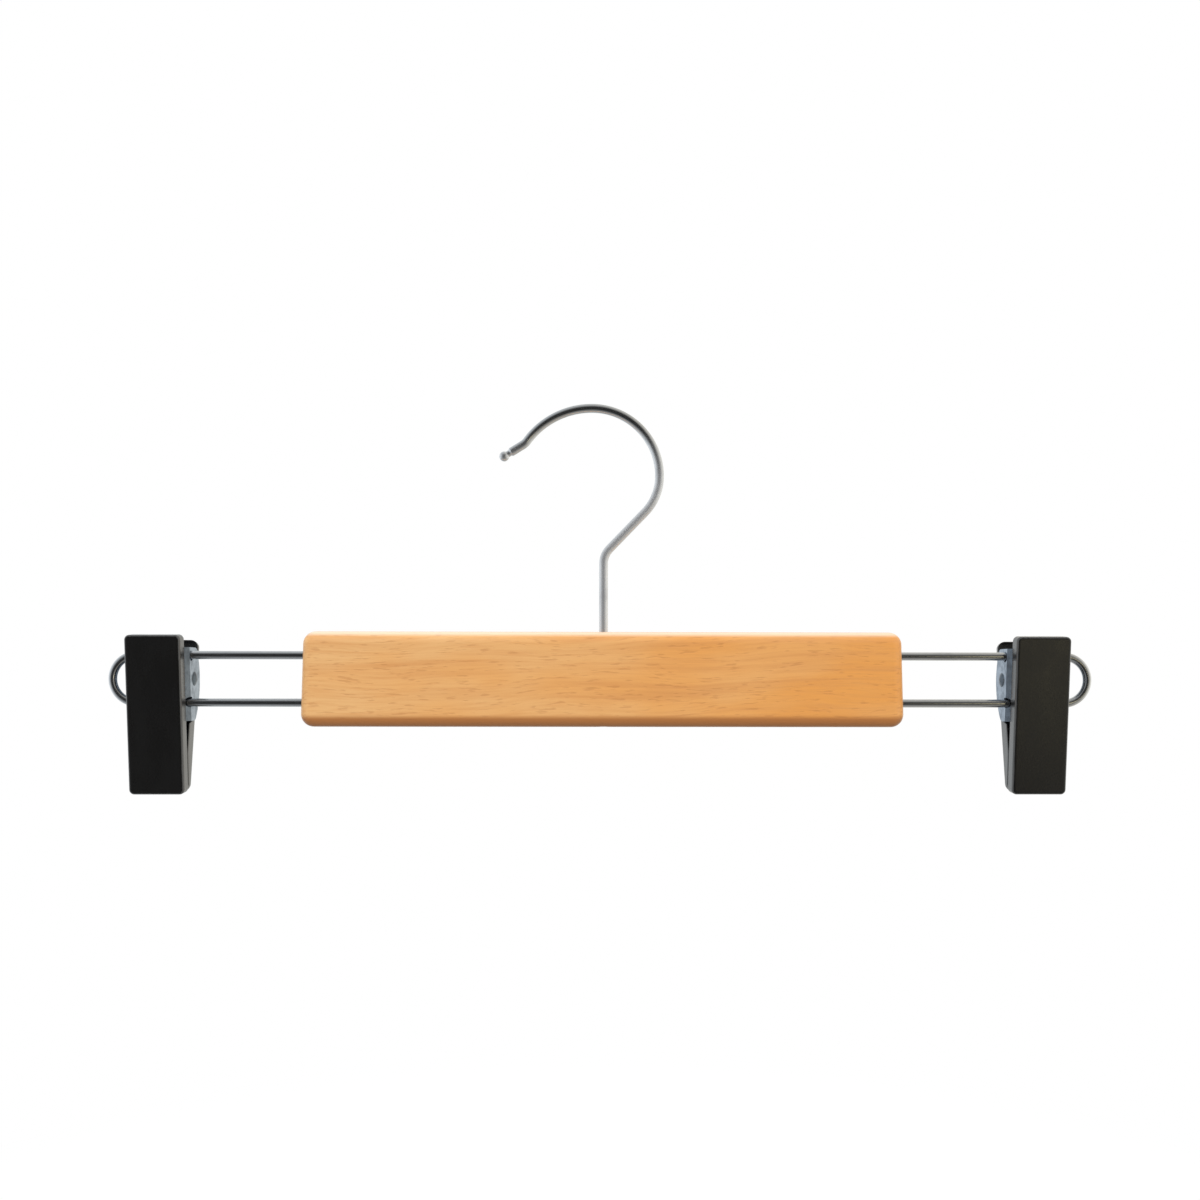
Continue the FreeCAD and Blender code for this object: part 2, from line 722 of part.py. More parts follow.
def make_spring(name, place):
    """A wire wound about the rivet, with a straight leg against the inner face of each jaw."""
    radius = value(SPRING_RADIUS)
    pivot = FreeCAD.Vector(0, value("pivot_setback"), 0)
    ends = []
    angles = []
    for side, height, turn in ((FRONT, "spring_front_height", 1), (REAR, "spring_rear_height", -1)):
        z = value(height)
        lift = value(f"(spring_wire / 2 + spring_seat_gap) / cos({LEANS[side]})")
        end = FreeCAD.Vector(0, value(jaw_depth(side, height)) + side * lift, z)
        away = end - pivot
        ends.append(end)
        angles.append(math.atan2(away.z, away.y) + turn * math.acos(radius / away.Length))
    sweep = (angles[1] - angles[0]) % (2 * math.pi) + 2 * math.pi * SPRING_FULL_TURNS
    length = value("spring_pitch") * sweep / (2 * math.pi)
    steps = math.ceil(sweep / (2 * math.pi) * QUARTERS_PER_TURN)
    places = []
    headings = []
    for step in range(steps + 1):
        angle = angles[0] + sweep * step / steps
        across = length * (step / steps - 1 / 2)
        places.append(pivot + FreeCAD.Vector(across, radius * math.cos(angle), radius * math.sin(angle)))
        slope = length / sweep if 0 < step < steps else 0
        heading = FreeCAD.Vector(slope, -radius * math.sin(angle), radius * math.cos(angle))
        headings.append(heading.normalize())
    front_end = ends[0] + X_AXIS * places[0].x
    rear_end = ends[1] + X_AXIS * places[-1].x
    edges = [Part.LineSegment(front_end, places[0])]
    for step in range(steps):
        edges += biarc(places[step], headings[step], places[step + 1], headings[step + 1])
    edges.append(Part.LineSegment(places[-1], rear_end))
    path = Part.Wire([edge.toShape() for edge in edges])
    circle = Part.Circle(front_end, places[0] - front_end, value("spring_wire / 2"))
    shell = Part.BRepOffsetAPI.MakePipeShell(path)
    shell.add(Part.Wire(circle.toShape()))
    shell.build()
    shell.makeSolid()
    spring = doc.addObject("Part::Feature", name)
    spring.Label = name
    spring.Shape = shell.shape()
    spring.Placement.Base = FreeCAD.Vector(value(place), 0, value(MIDDLE_Z))
    print(name, "least gap to itself, mm:", round(least_gap(path.Edges), 3))
    return spring


def least_gap(edges):
    """The least space between stretches of wire that lie more than half a turn apart."""
    marks = []
    travelled = 0
    for edge in edges:
        for step in range(GAP_POINTS_PER_ARC):
            run = edge.Length * step / GAP_POINTS_PER_ARC
            marks.append((travelled + run, edge.valueAt(edge.getParameterByLength(run))))
        travelled += edge.Length
    apart = math.pi * value(SPRING_RADIUS)
    nearest = min(
        first[1].distanceToPoint(second[1])
        for index, first in enumerate(marks)
        for second in marks[index + 1:]
        if second[0] - first[0] > apart
    )
    return nearest - value("spring_wire")


def make_clip(name, place):
    """The pieces of one clip."""
    front_ear = [
        on_jaw(FRONT, f"-{EAR_BOTTOM}"),
        in_jaw(FRONT, "pivot_setback + ear_bottom_reach", f"-{EAR_BOTTOM}"),
        in_jaw(FRONT, "pivot_setback + ear_top_reach", EAR_TOP),
        on_jaw(FRONT, EAR_TOP),
    ]
    rear_ear = [
        on_jaw(REAR, "-rear_ear_bottom"),
        in_jaw(REAR, "pivot_setback - rear_lobe", "-rear_lobe"),
        in_jaw(REAR, "pivot_setback - rear_lobe", "rear_lobe"),
        on_jaw(REAR, "rear_ear_top"),
    ]
    return [
        make_cover(f"{name}_front_cover", place, FRONT, "front_wall_depth"),
        make_cover(f"{name}_rear_cover", place, REAR, "cheek_depth"),
        make_jaw(
            f"{name}_front_jaw", place, FRONT, f"(cover_top - {TRAY_INSET})", FRONT_JAW_WIDTH, EAR_WIDTH,
            front_ear, arcs={4: ("ear_rear_radius", 1)},
        ),
        make_jaw(
            f"{name}_rear_jaw", place, REAR, "rear_plate_top", REAR_JAW_WIDTH, REAR_JAW_WIDTH, rear_ear,
        ),
        make_pad(f"{name}_front_pad", place, FRONT),
        make_pad(f"{name}_rear_pad", place, REAR),
        make_rivet(f"{name}_rivet", place),
        make_spring(f"{name}_spring", place),
    ]


def check(pieces):
    """Stops the build if any object failed or any piece is not a sound solid."""
    failed = [thing.Name for thing in doc.Objects if {"Invalid", "Error"} & set(thing.State)]
    for piece in pieces:
        if piece.Shape.isNull() or not piece.Shape.isValid() or len(piece.Shape.Solids) != 1:
            failed.append(piece.Label)
    if failed:
        raise ValueError(f"failed objects: {failed}")


pieces = [
    make_bar(),
    make_hook(),
    make_washer(),
    make_rod_loop("left", -1),
    make_rod_loop("right", 1),
]
for side_name, clip_place in CLIP_PLACES.items():
    pieces += make_clip(side_name, clip_place)
doc.recompute()
check(pieces)
os.makedirs("parts", exist_ok=True)
for piece in pieces:
    piece.Shape.exportStep(f"parts/{piece.Label}.step")
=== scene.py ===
import json
import math

import bpy
import numpy as np
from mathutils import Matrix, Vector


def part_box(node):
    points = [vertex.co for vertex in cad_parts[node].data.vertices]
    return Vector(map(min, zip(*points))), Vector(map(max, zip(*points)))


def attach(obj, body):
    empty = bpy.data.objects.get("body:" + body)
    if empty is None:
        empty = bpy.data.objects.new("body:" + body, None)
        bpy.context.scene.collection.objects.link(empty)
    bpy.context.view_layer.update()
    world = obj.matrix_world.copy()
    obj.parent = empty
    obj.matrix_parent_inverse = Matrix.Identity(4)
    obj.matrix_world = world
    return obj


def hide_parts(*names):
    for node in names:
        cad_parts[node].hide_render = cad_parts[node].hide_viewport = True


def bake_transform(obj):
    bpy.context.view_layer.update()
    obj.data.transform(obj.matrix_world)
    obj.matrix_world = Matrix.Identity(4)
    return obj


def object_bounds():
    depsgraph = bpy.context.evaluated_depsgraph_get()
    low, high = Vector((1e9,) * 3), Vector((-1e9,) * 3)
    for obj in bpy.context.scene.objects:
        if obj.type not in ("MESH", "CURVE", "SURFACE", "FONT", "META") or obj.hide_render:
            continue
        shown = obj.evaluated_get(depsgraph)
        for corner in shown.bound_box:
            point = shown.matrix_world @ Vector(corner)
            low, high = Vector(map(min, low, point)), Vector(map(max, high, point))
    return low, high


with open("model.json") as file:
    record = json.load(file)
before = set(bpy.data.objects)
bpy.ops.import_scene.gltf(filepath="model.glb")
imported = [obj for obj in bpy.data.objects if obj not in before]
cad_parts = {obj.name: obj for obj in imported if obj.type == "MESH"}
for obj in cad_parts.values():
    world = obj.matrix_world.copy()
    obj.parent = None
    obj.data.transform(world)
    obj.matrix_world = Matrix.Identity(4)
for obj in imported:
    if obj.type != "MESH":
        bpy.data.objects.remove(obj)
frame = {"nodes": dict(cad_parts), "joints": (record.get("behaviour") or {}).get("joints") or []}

bl_info = {
    "name": "Skirt Hanger",
    "version": (1, 0, 0),
    "blender": (4, 5, 0),
    "location": "View3D > Sidebar > Hanger",
    "description": "Dresses a wooden skirt hanger with a swivel hook, wire rods and spring clips",
    "category": "Object",
}

# Lengths are in metres and angles in radians. +X is to the right, +Y to the back and +Z up.
CAD_BOX = [list(corner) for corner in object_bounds()]
SIDES = ("left", "right")
FRONT = 1
REAR = -1
PIVOTS = {
    side: joint["pos_m"]
    for side in SIDES
    for joint in frame["joints"]
    if joint["name"] == f"{side}_clip_open"
}
BAR_LOW, BAR_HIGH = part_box("wooden_bar")
HOOK_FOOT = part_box("swivel_hook")[0].z
MIDDLE_Z = PIVOTS["left"][2]
RIGHT_ANGLE = math.pi / 2
FULL_TURN = 2 * math.pi
ALONG_Y = np.array((0.0, 1.0, 0.0))
TINY = 1e-9

# How finely the surfaces are drawn, and the angles from which an edge is a crease
WIRE_STEP = 0.0003
WIRE_SIDES = 40
TURNED_SIDES = 40
SPRING_SIDES = 20
CORNER_POINTS = 9
SIDE_POINTS = 60
EDGE_POINTS = 6
DOME_POINTS = 12
HEAD_POINTS = 40
TIP_POINTS = 60
TURN_POINTS = 72
LEG_POINTS = 24
SHELL_CREASE = math.radians(50)
RIVET_CREASE = math.radians(40)

# Shares that set where a surface has its rings
HEAD_SHARE = 1.2
POLE_SHARE = 0.98
EDGE_SHARE = 1.6
STAKE_SHARE = 0.8
EASE_TURN = 0.25


def length_setting(name, description, default):
    """A length that a user may set."""
    return bpy.props.FloatProperty(
        name=name, description=description, default=default, unit="LENGTH", subtype="DISTANCE", precision=5
    )


def angle_setting(name, description, degrees):
    """An angle that a user may set."""
    return bpy.props.FloatProperty(
        name=name, description=description, default=math.radians(degrees), unit="ROTATION", subtype="ANGLE"
    )


def colour_setting(name, description, default):
    """A colour that a user may set."""
    return bpy.props.FloatVectorProperty(
        name=name, description=description, default=default, size=3, min=0.0, max=1.0, subtype="COLOR"
    )


class HangerWireSizes(bpy.types.PropertyGroup):
    """Sizes of the hook's wire and of the rods."""

    wire: length_setting("Hook wire", "Diameter of the hook's wire", 0.0032)
    rise: length_setting("Rise", "Height of the wire's middle at the crown over the bar", 0.0811)
    lower_radius: length_setting("Lower bend", "Radius of the bend over the neck", 0.019)
    right_radius: length_setting("Right bend", "Radius of the bend from the flank to the crown", 0.02445)
    left_radius: length_setting("Left bend", "Radius of the bend from the crown to the tip", 0.0292)
    left_sweep: angle_setting("Left sweep", "Angle that the left bend turns", 54)
    offset: length_setting("Offset", "How far the crown lies to the left of the stem", 0.0042)
    flank_angle: angle_setting("Flank", "Slope of the neck", 46)
    kink_radius: length_setting("Kink", "Radius of the bend from the stem to the neck", 0.008)
    tip_bend_radius: length_setting("Tip bend", "Radius of the outward bend at the tip", 0.005)
    tip_bend_angle: angle_setting("Tip turn", "Angle that the tip turns outwards", 22)
    tip_length: length_setting("Tip", "Straight length from the tip's bend to the ball's neck", 0.005)
    ball: length_setting("Ball", "Diameter of the ball at the tip", 0.0036)
    neck: length_setting("Ball neck", "Diameter of the neck behind the ball", 0.0023)
    neck_length: length_setting("Neck length", "Length of the neck behind the ball", 0.0012)
    head: length_setting("Head", "Diameter of the head on the stem's foot", 0.005)
    head_thickness: length_setting("Head thickness", "Thickness of the head on the stem's foot", 0.0018)
    rod: length_setting("Rod", "Diameter of the rods", 0.003)
    rod_spacing: length_setting("Rod spacing", "Distance between the two runs of a rod loop", 0.0171)


class HangerClipSizes(bpy.types.PropertyGroup):
    """Sizes of the clips."""

    width: length_setting("Width", "Width of a cover", 0.0196)
    front_lean: angle_setting("Front lean", "Lean of the front jaw from upright", 5)
    rear_lean: angle_setting("Rear lean", "Lean of the rear jaw from upright", 10)
    top: length_setting("Top", "Reach of the front cover over the rods' middle", 0.0155)
    bottom: length_setting("Bottom", "Reach of the covers below the rods' middle", 0.0416)
    rear_drop: length_setting("Rear drop", "How much lower the rear cover's top is", 0.0013)
    face: length_setting("Face", "Thickness of a cover's face", 0.0014)
    wall: length_setting("Wall", "Thickness of a cover's side walls", 0.0007)
    front_depth: length_setting("Front depth", "Depth of the front cover's side walls", 0.0046)
    rear_depth: length_setting("Rear depth", "Depth of the rear cover's side walls", 0.0023)
    cheek_depth: length_setting("Cheek depth", "Depth of the rear cover's cheeks", 0.0058)
    cheek_top: length_setting("Cheek top", "Drop of the cheeks' upper ends below the rods' middle", 0.016)
    cheek_tip: length_setting("Cheek tip", "Drop of the cheeks' tips below the rods' middle", 0.0172)
    cheek_heel: length_setting("Cheek heel", "Drop of the cheeks' heels below the rods' middle", 0.028)
    wall_gap: length_setting("Wall gap", "Gap between the two covers' walls at the foot", 0.0004)
    wall_rod_gap: length_setting("Rod gap", "Gap between the front cover's walls and the rods", 0.0006)
    front_corner: length_setting("Front corner", "Radius of the front cover's corners", 0.0018)
    rear_corner: length_setting("Rear corner", "Radius of the rear cover's corners", 0.0028)
    edge: length_setting("Edge", "Radius of a cover's outer edge", 0.0008)
    rim: length_setting("Rim", "Radius of the rim and of the tray's inner corners", 0.0002)
    steel: length_setting("Steel", "Thickness of the jaws' steel", 0.0009)
    stake: length_setting("Stake", "Diameter of the stakes that hold the jaws", 0.0024)
    stake_head: length_setting("Stake head", "Diameter of the melted head of a stake", 0.0034)
    stake_proud: length_setting("Stake height", "Height of the melted head of a stake", 0.0007)
    stake_upper: length_setting("Upper stake", "Height of the upper stake over the rods' middle", 0.004)
    stake_lower: length_setting("Lower stake", "Drop of the lower stake below the rods' middle", 0.021)
    rivet: length_setting("Rivet", "Diameter of the rivets", 0.003)
    rivet_head: length_setting("Rivet head", "Diameter of a rivet's head", 0.0052)
    rivet_rise: length_setting("Rivet rise", "Height of a rivet's head", 0.0008)
    spring_wire: length_setting("Spring wire", "Diameter of a spring's wire", 0.001)
    spring_gap: length_setting("Spring gap", "Gap between a rivet and the spring round it", 0.0008)
    spring_pitch: length_setting("Spring pitch", "Distance from turn to turn of a spring", 0.0017)
    spring_turns: bpy.props.IntProperty(
        name="Spring turns", description="Full turns of a spring", default=4, min=1
    )
    spring_front: length_setting("Front leg", "Height of the front leg's end over the rivet", 0.0055)
    spring_rear: length_setting("Rear leg", "Height of the rear leg's end over the rivet", 0.008)
    spring_seat: length_setting("Leg gap", "Gap between a spring's leg and its jaw", 0.0001)


class HangerColours(bpy.types.PropertyGroup):
    """Colours of the finishes."""

    wood_pale: colour_setting("Pale wood", "Beech at the bar's left end", (0.85, 0.485, 0.195))
    wood_warm: colour_setting("Warm wood", "Beech at the bar's right end", (0.83, 0.36, 0.08))
    wood_streak: colour_setting("Streak", "Darker bands of the grain", (0.68, 0.29, 0.085))
    # Also the painted shade on the bar's lower rounded edge
    wood_fleck_and_shade: colour_setting("Fleck", "Short dark flecks of the rays", (0.50, 0.19, 0.05))
    # Painted highlight on the bar's upper rounded edges
    wood_highlight: colour_setting("Rubbed wood", "Beech where the upper edges are rubbed", (0.95, 0.82, 0.64))
    chrome: colour_setting("Chrome", "Plating of the hook and rods", (0.74, 0.75, 0.77))
    chrome_dull: colour_setting("Dull chrome", "Plating where it was handled", (0.62, 0.63, 0.65))
    zinc: colour_setting("Zinc", "Plating of the jaws", (0.36, 0.42, 0.50))
    zinc_dull: colour_setting("Dull zinc", "Plating where it has greyed", (0.24, 0.28, 0.33))
    # The rivets' dark colour is painted shade of their heads
    rivet: colour_setting("Rivet", "Oiled zinc of the rivets", (0.13, 0.16, 0.19))
    rivet_dull: colour_setting("Dull rivet", "Dull spots of the rivets", (0.08, 0.09, 0.11))
    plastic: colour_setting("Plastic", "Black plastic of the covers", (0.0055, 0.005, 0.0047))
    # Also the painted highlight on the covers' rounded edges, and scratches
    plastic_highlight_and_scratch: colour_setting("Worn plastic", "Black plastic where edges rub", (0.09, 0.09, 0.09))
    rubber: colour_setting("Rubber", "Rubber of the grip pads", (0.018, 0.018, 0.018))
    rubber_dusty: colour_setting("Dusty rubber", "Rubber in the grooves", (0.05, 0.048, 0.045))
    spring: colour_setting("Spring", "Drawn steel of the springs", (0.50, 0.50, 0.51))
    spring_oiled: colour_setting("Oiled spring", "Drawn steel under a film of oil", (0.30, 0.28, 0.25))


# Surfaces

def bent_path(start, heading, stretches):
    """Places along a wire that is bent in the XZ plane, and the distance along the wire to each.

    A stretch is a length and the angle by which it turns to the left. The heading grows evenly along each
    stretch, and a place is the running sum of short steps along the heading.
    """
    lengths, turns = np.array(stretches, float).T
    ends = np.concatenate(([0.0], np.cumsum(lengths)))
    headings = heading + np.concatenate(([0.0], np.cumsum(turns)))
    along = np.linspace(0.0, ends[-1], int(ends[-1] / WIRE_STEP) + 1)
    middle = np.interp((along[1:] + along[:-1]) / 2, ends, headings)
    ways = np.column_stack((np.cos(middle), np.zeros_like(middle), np.sin(middle)))
    steps = np.diff(along)[:, None] * ways
    places = np.array(start) + np.vstack((np.zeros(3), np.cumsum(steps, axis=0)))
    return places, along


def tube(places, radii, reference, sides):
    """Rings of a round tube: each place plus its radius times a cosine and a sine along two directions.

    The first direction is the reference less its share along the path, and the second is square to both.
    """
    tangent = np.gradient(places, axis=0)
    tangent /= np.linalg.norm(tangent, axis=1, keepdims=True)
    across = reference - np.sum(reference * tangent, axis=1, keepdims=True) * tangent
    across /= np.linalg.norm(across, axis=1, keepdims=True)
    other = np.cross(tangent, across)
    angle = np.linspace(0.0, FULL_TURN, sides, endpoint=False)[None, :, None]
    round_it = np.cos(angle) * across[:, None] + np.sin(angle) * other[:, None]
    return places[:, None] + radii[:, None, None] * round_it


def turned(profile, axis, sides):
    """Rings of a turned shape: each profile point's reach along an axis, with its radius carried round."""
    axis = np.array(axis, float)
    places = np.array(profile)[:, :1] * axis
    radii = np.array(profile)[:, 1]
    side = np.roll(axis, 1)
    other = np.cross(axis, side)
    angle = np.linspace(0.0, FULL_TURN, sides, endpoint=False)[None, :, None]
    return places[:, None] + radii[:, None, None] * (np.cos(angle) * side + np.sin(angle) * other)


def rounded_ends(along, radius, ease):
    """The radius along a wire whose two ends are rounded over a length: a quarter ellipse at each end."""
    near = np.clip(np.minimum(along, along[-1] - along) / ease, 0.0, 1.0)
    return radius * np.sqrt(np.clip(1 - (1 - near) ** 2, 0.0, 1.0))


def quarter_round(radius, points):
    """A quarter circle's rise and run: the radius less its cosine, and the radius times its sine."""
    angle = np.linspace(0.0, RIGHT_ANGLE, points)
    return radius * (1 - np.cos(angle)), radius * np.sin(angle)


def tray(half_width, low, high, corner, profile):
    """Rings of a tray: a rounded rectangle drawn in by each profile point's inset, at the point's depth.

    A ring's corner is a quarter circle of the corner radius less the inset. Even steps lead to the next.
    """
    inset, depth = np.array(profile, float).T[:, :, None]
    radius = np.maximum(corner - inset, TINY)
    angle = np.linspace(0.0, RIGHT_ANGLE, CORNER_POINTS)
    share = np.linspace(0.0, 1.0, SIDE_POINTS + 2)[1:-1, None]
    bends = []
    for turn, (right, up) in enumerate(((1, 1), (-1, 1), (-1, -1), (1, -1))):
        x_centre = right * (half_width - inset - radius)
        z_centre = np.where(up > 0, high - inset - radius, low + inset + radius)
        x = x_centre + radius * np.cos(angle + turn * RIGHT_ANGLE)
        z = z_centre + radius * np.sin(angle + turn * RIGHT_ANGLE)
        bends.append(np.stack((x, np.broadcast_to(depth, x.shape), z), axis=2))
    rings = []
    for bend, following in zip(bends, bends[1:] + bends[:1]):
        rings += [bend, bend[:, -1:] + share * (following[:, :1] - bend[:, -1:])]
    return np.concatenate(rings, axis=1)


def skin(rings, along=None):
    """Corners, faces and flat map of a closed surface through rings, of which the first and last are poles.

    The map holds the distance along the rings and the share of the way round. The faces face outwards.
    """
    count, sides = rings.shape[:2]
    along = np.arange(count, dtype=float) if along is None else along
    poles = rings[[0, -1]].mean(axis=1)
    corners = np.vstack((rings[1:-1].reshape(-1, 3), poles))
    row, column = np.meshgrid(np.arange(count - 3), np.arange(sides), indexing="ij")
    row, column = row.ravel(), column.ravel()
    following = (column + 1) % sides
    start = row * sides
    quads = np.column_stack((
        start + column, start + following, start + sides + following, start + sides + column
    ))
    share = np.column_stack((column, column + 1, column + 1, column)) / sides
    reach = along[np.column_stack((row, row, row + 1, row + 1)) + 1]
    quad_map = np.stack((reach, share), axis=2)
    first = np.arange(sides)
    second = (first + 1) % sides
    last_row = (count - 3) * sides
    first_pole = np.full(sides, len(corners) - 2)
    fans = np.vstack((
        np.column_stack((first_pole, second, first)),
        np.column_stack((first_pole + 1, last_row + first, last_row + second)),
    ))
    fan_share = np.vstack((
        np.column_stack((first + 0.5, first + 1, first)),
        np.column_stack((first + 0.5, first, first + 1)),
    )) / sides
    fan_reach = np.vstack((
        np.tile(along[[0, 1, 1]], (sides, 1)),
        np.tile(along[[-1, -2, -2]], (sides, 1)),
    ))
    fan_map = np.stack((fan_reach, fan_share), axis=2)
    spans = np.vstack((quads[:, [0, 1, 2]], quads[:, [0, 2, 3]], fans))
    a, b, c = (corners[spans[:, index]] for index in range(3))
    if np.sum(a * np.cross(b, c)) < 0:
        quads, quad_map = quads[:, ::-1], quad_map[:, ::-1]
        fans, fan_map = fans[:, ::-1], fan_map[:, ::-1]
    return corners, quads, fans, quad_map, fan_map


def new_piece(name, shells, material, wear=None, sharp=None):
    """A smooth mesh object of closed shells, with a flat map and, at each corner, a share of painted edge
    highlight.
    """
    corners, faces, flat = [], [], []
    start = 0
    for shell_corners, quads, fans, quad_map, fan_map in shells:
        corners.append(shell_corners)
        faces += (quads + start).tolist() + (fans + start).tolist()
        flat += [quad_map.reshape(-1, 2), fan_map.reshape(-1, 2)]
        start += len(shell_corners)
    mesh = bpy.data.meshes.new(name)
    mesh.from_pydata(np.vstack(corners).tolist(), [], faces)
    mesh.uv_layers.new(name="flat_map").data.foreach_set("uv", np.vstack(flat).ravel())
    mesh.attributes.new("wear", "FLOAT", "POINT").data.foreach_set(
        "value", np.zeros(start) if wear is None else np.asarray(wear, float)
    )
    mesh.polygons.foreach_set("use_smooth", np.ones(len(faces), bool))
    if sharp is not None:
        mesh.set_sharp_from_angle(angle=sharp)
    mesh.update()
    mesh.materials.append(material)
    piece = bpy.data.objects.new(name, mesh)
    bpy.context.scene.collection.objects.link(piece)
    return piece


# Materials

class Finish:
    """A material, or the world, whose nodes are added and joined by short calls."""

    def __init__(self, owner):
        owner.use_nodes = True
        self.tree = owner.node_tree
        self.shader = self.tree.nodes.get("Principled BSDF")

    def join(self, given, socket):
        """Sets a socket to a value, or joins an output to it."""
        if isinstance(given, bpy.types.NodeSocket):
            self.tree.links.new(given, socket)
        else:
            socket.default_value = given

    def add(self, kind, inputs=None, **settings):
        """A new node with its settings, and with values or outputs on its inputs."""
        node = self.tree.nodes.new(kind)
        for field, setting in settings.items():
            setattr(node, field, setting)
        for socket, given in (inputs or {}).items():
            self.join(given, node.inputs[socket])
        return node

    def place(self):
        """The place on the piece, in metres."""
        return self.add("ShaderNodeTexCoord").outputs["Object"]

    def flat_map(self):
        """The distance along a piece and the share of the way round it."""
        return self.add("ShaderNodeUVMap", uv_map="flat_map").outputs["UV"]

    def attribute(self, name):
        """A number that the piece holds at each corner."""
        return self.add("ShaderNodeAttribute", attribute_name=name).outputs["Fac"]

    def axes(self, vector):
        """The three parts of a vector."""
        return self.add("ShaderNodeSeparateXYZ", {"Vector": vector}).outputs

    def sum(self, operation, first, second=0.0):
        """One sum of two numbers."""
        return self.add("ShaderNodeMath", {0: first, 1: second}, operation=operation).outputs["Value"]

    def noise(self, vector, size, detail=2.0, roughness=0.5):
        """Smooth noise from 0 to 1 whose spots have a size along each axis."""
        scaled = self.add("ShaderNodeMapping", {"Vector": vector, "Scale": [1 / length for length in size]})
        return self.add("ShaderNodeTexNoise", {
            "Vector": scaled.outputs["Vector"],
            "Scale": 1.0,
            "Detail": detail,
            "Roughness": roughness,
        }).outputs["Fac"]

    def span(self, number, low, high, first=0.0, last=1.0, smooth=True):
        """A number between first and last as another goes from low to high."""
        return self.add(
            "ShaderNodeMapRange",
            {"Value": number, "From Min": low, "From Max": high, "To Min": first, "To Max": last},
            interpolation_type="SMOOTHSTEP" if smooth else "LINEAR",
        ).outputs["Result"]

    def blend(self, share, first, second):
        """A colour between two colours."""
        return self.add("ShaderNodeMix", {0: share, 6: first, 7: second}, data_type="RGBA").outputs[2]

    def bump(self, height, distance, before=None):
        """A dented normal, on top of an earlier one."""
        inputs = {"Height": height, "Distance": distance, "Strength": 1.0}
        if before is not None:
            inputs["Normal"] = before
        return self.add("ShaderNodeBump", inputs).outputs["Normal"]

    def surface(self, **inputs):
        """Values or outputs for the shader's own sockets, with spaces written as underscores."""
        for socket, given in inputs.items():
            self.join(given, self.shader.inputs[socket.replace("_", " ")])


def colour(setting):
    """A colour setting with full cover."""
    return (*setting, 1.0)


def beech_finish(finish, colours):
    """Lacquered beech: long soft bands, short dark flecks and fine fibres along X, warmer at the right end.

    The rounded edges along the bar get painted shade below and a painted highlight above.
    """
    place = finish.place()
    axes = finish.axes(place)
    turned_place = finish.add(
        "ShaderNodeVectorRotate", {"Vector": place, "Angle": math.radians(1.6)}, rotation_type="Y_AXIS"
    ).outputs["Vector"]
    sway = finish.noise(turned_place, (0.055, 0.02, 0.02), detail=1.0)
    lift = finish.add("ShaderNodeCombineXYZ", {"Z": finish.sum("MULTIPLY", sway, 0.007)})
    swayed = finish.add(
        "ShaderNodeVectorMath", {0: turned_place, 1: lift.outputs["Vector"]}, operation="ADD"
    ).outputs["Vector"]
    bands = finish.noise(swayed, (0.09, 0.004, 0.0026), detail=3.0, roughness=0.6)
    flecks = finish.noise(swayed, (0.0048, 0.0012, 0.00062), detail=1.0, roughness=0.45)
    fibres = finish.noise(swayed, (0.014, 0.0006, 0.0006), detail=3.0, roughness=0.6)
    patches = finish.noise(place, (0.05, 0.03, 0.018), detail=2.0)
    reach = finish.span(axes["X"], BAR_LOW.x, BAR_HIGH.x, smooth=False)
    warmth = finish.sum("ADD", reach, finish.span(patches, 0.3, 0.7, -0.25, 0.25))
    near_edge = finish.span(finish.sum("ABSOLUTE", axes["Y"]), 0.0024, 0.0042)
    # Painted shade on the lower rounded edge, in the fleck colour
    painted_under_shade = finish.span(axes["Z"], BAR_LOW.z + 0.0026, BAR_LOW.z + 0.0048, 0.95, 0.0)
    # Painted highlight on the upper rounded edge
    painted_top_highlight = finish.span(axes["Z"], BAR_HIGH.z - 0.0022, BAR_HIGH.z - 0.0004, 0.0, 0.72)
    fleck = finish.span(flecks, 0.58, 0.74)
    shade = finish.blend(warmth, colour(colours.wood_pale), colour(colours.wood_warm))
    for share, layer in (
        (finish.span(bands, 0.42, 0.72, 0.0, 0.55), colours.wood_streak),
        (finish.span(fibres, 0.42, 0.72, 0.0, 0.34), colours.wood_streak),
        (finish.sum("MULTIPLY", fleck, 0.36), colours.wood_fleck_and_shade),
        # Painted shade on the lower edge and a painted highlight on the upper edge
        (finish.sum("MULTIPLY", painted_under_shade, near_edge), colours.wood_fleck_and_shade),
        (finish.sum("MULTIPLY", painted_top_highlight, near_edge), colours.wood_highlight),
    ):
        shade = finish.blend(share, shade, colour(layer))
    fine = finish.bump(fibres, 0.00002)
    finish.surface(
        Base_Color=shade,
        Roughness=finish.span(finish.sum("ADD", fleck, patches), 0.2, 1.4, 0.36, 0.52),
        Normal=finish.bump(finish.sum("SUBTRACT", 1.0, fleck), 0.00003, fine),
        Coat_Weight=0.25,
        Coat_Roughness=0.22,
    )


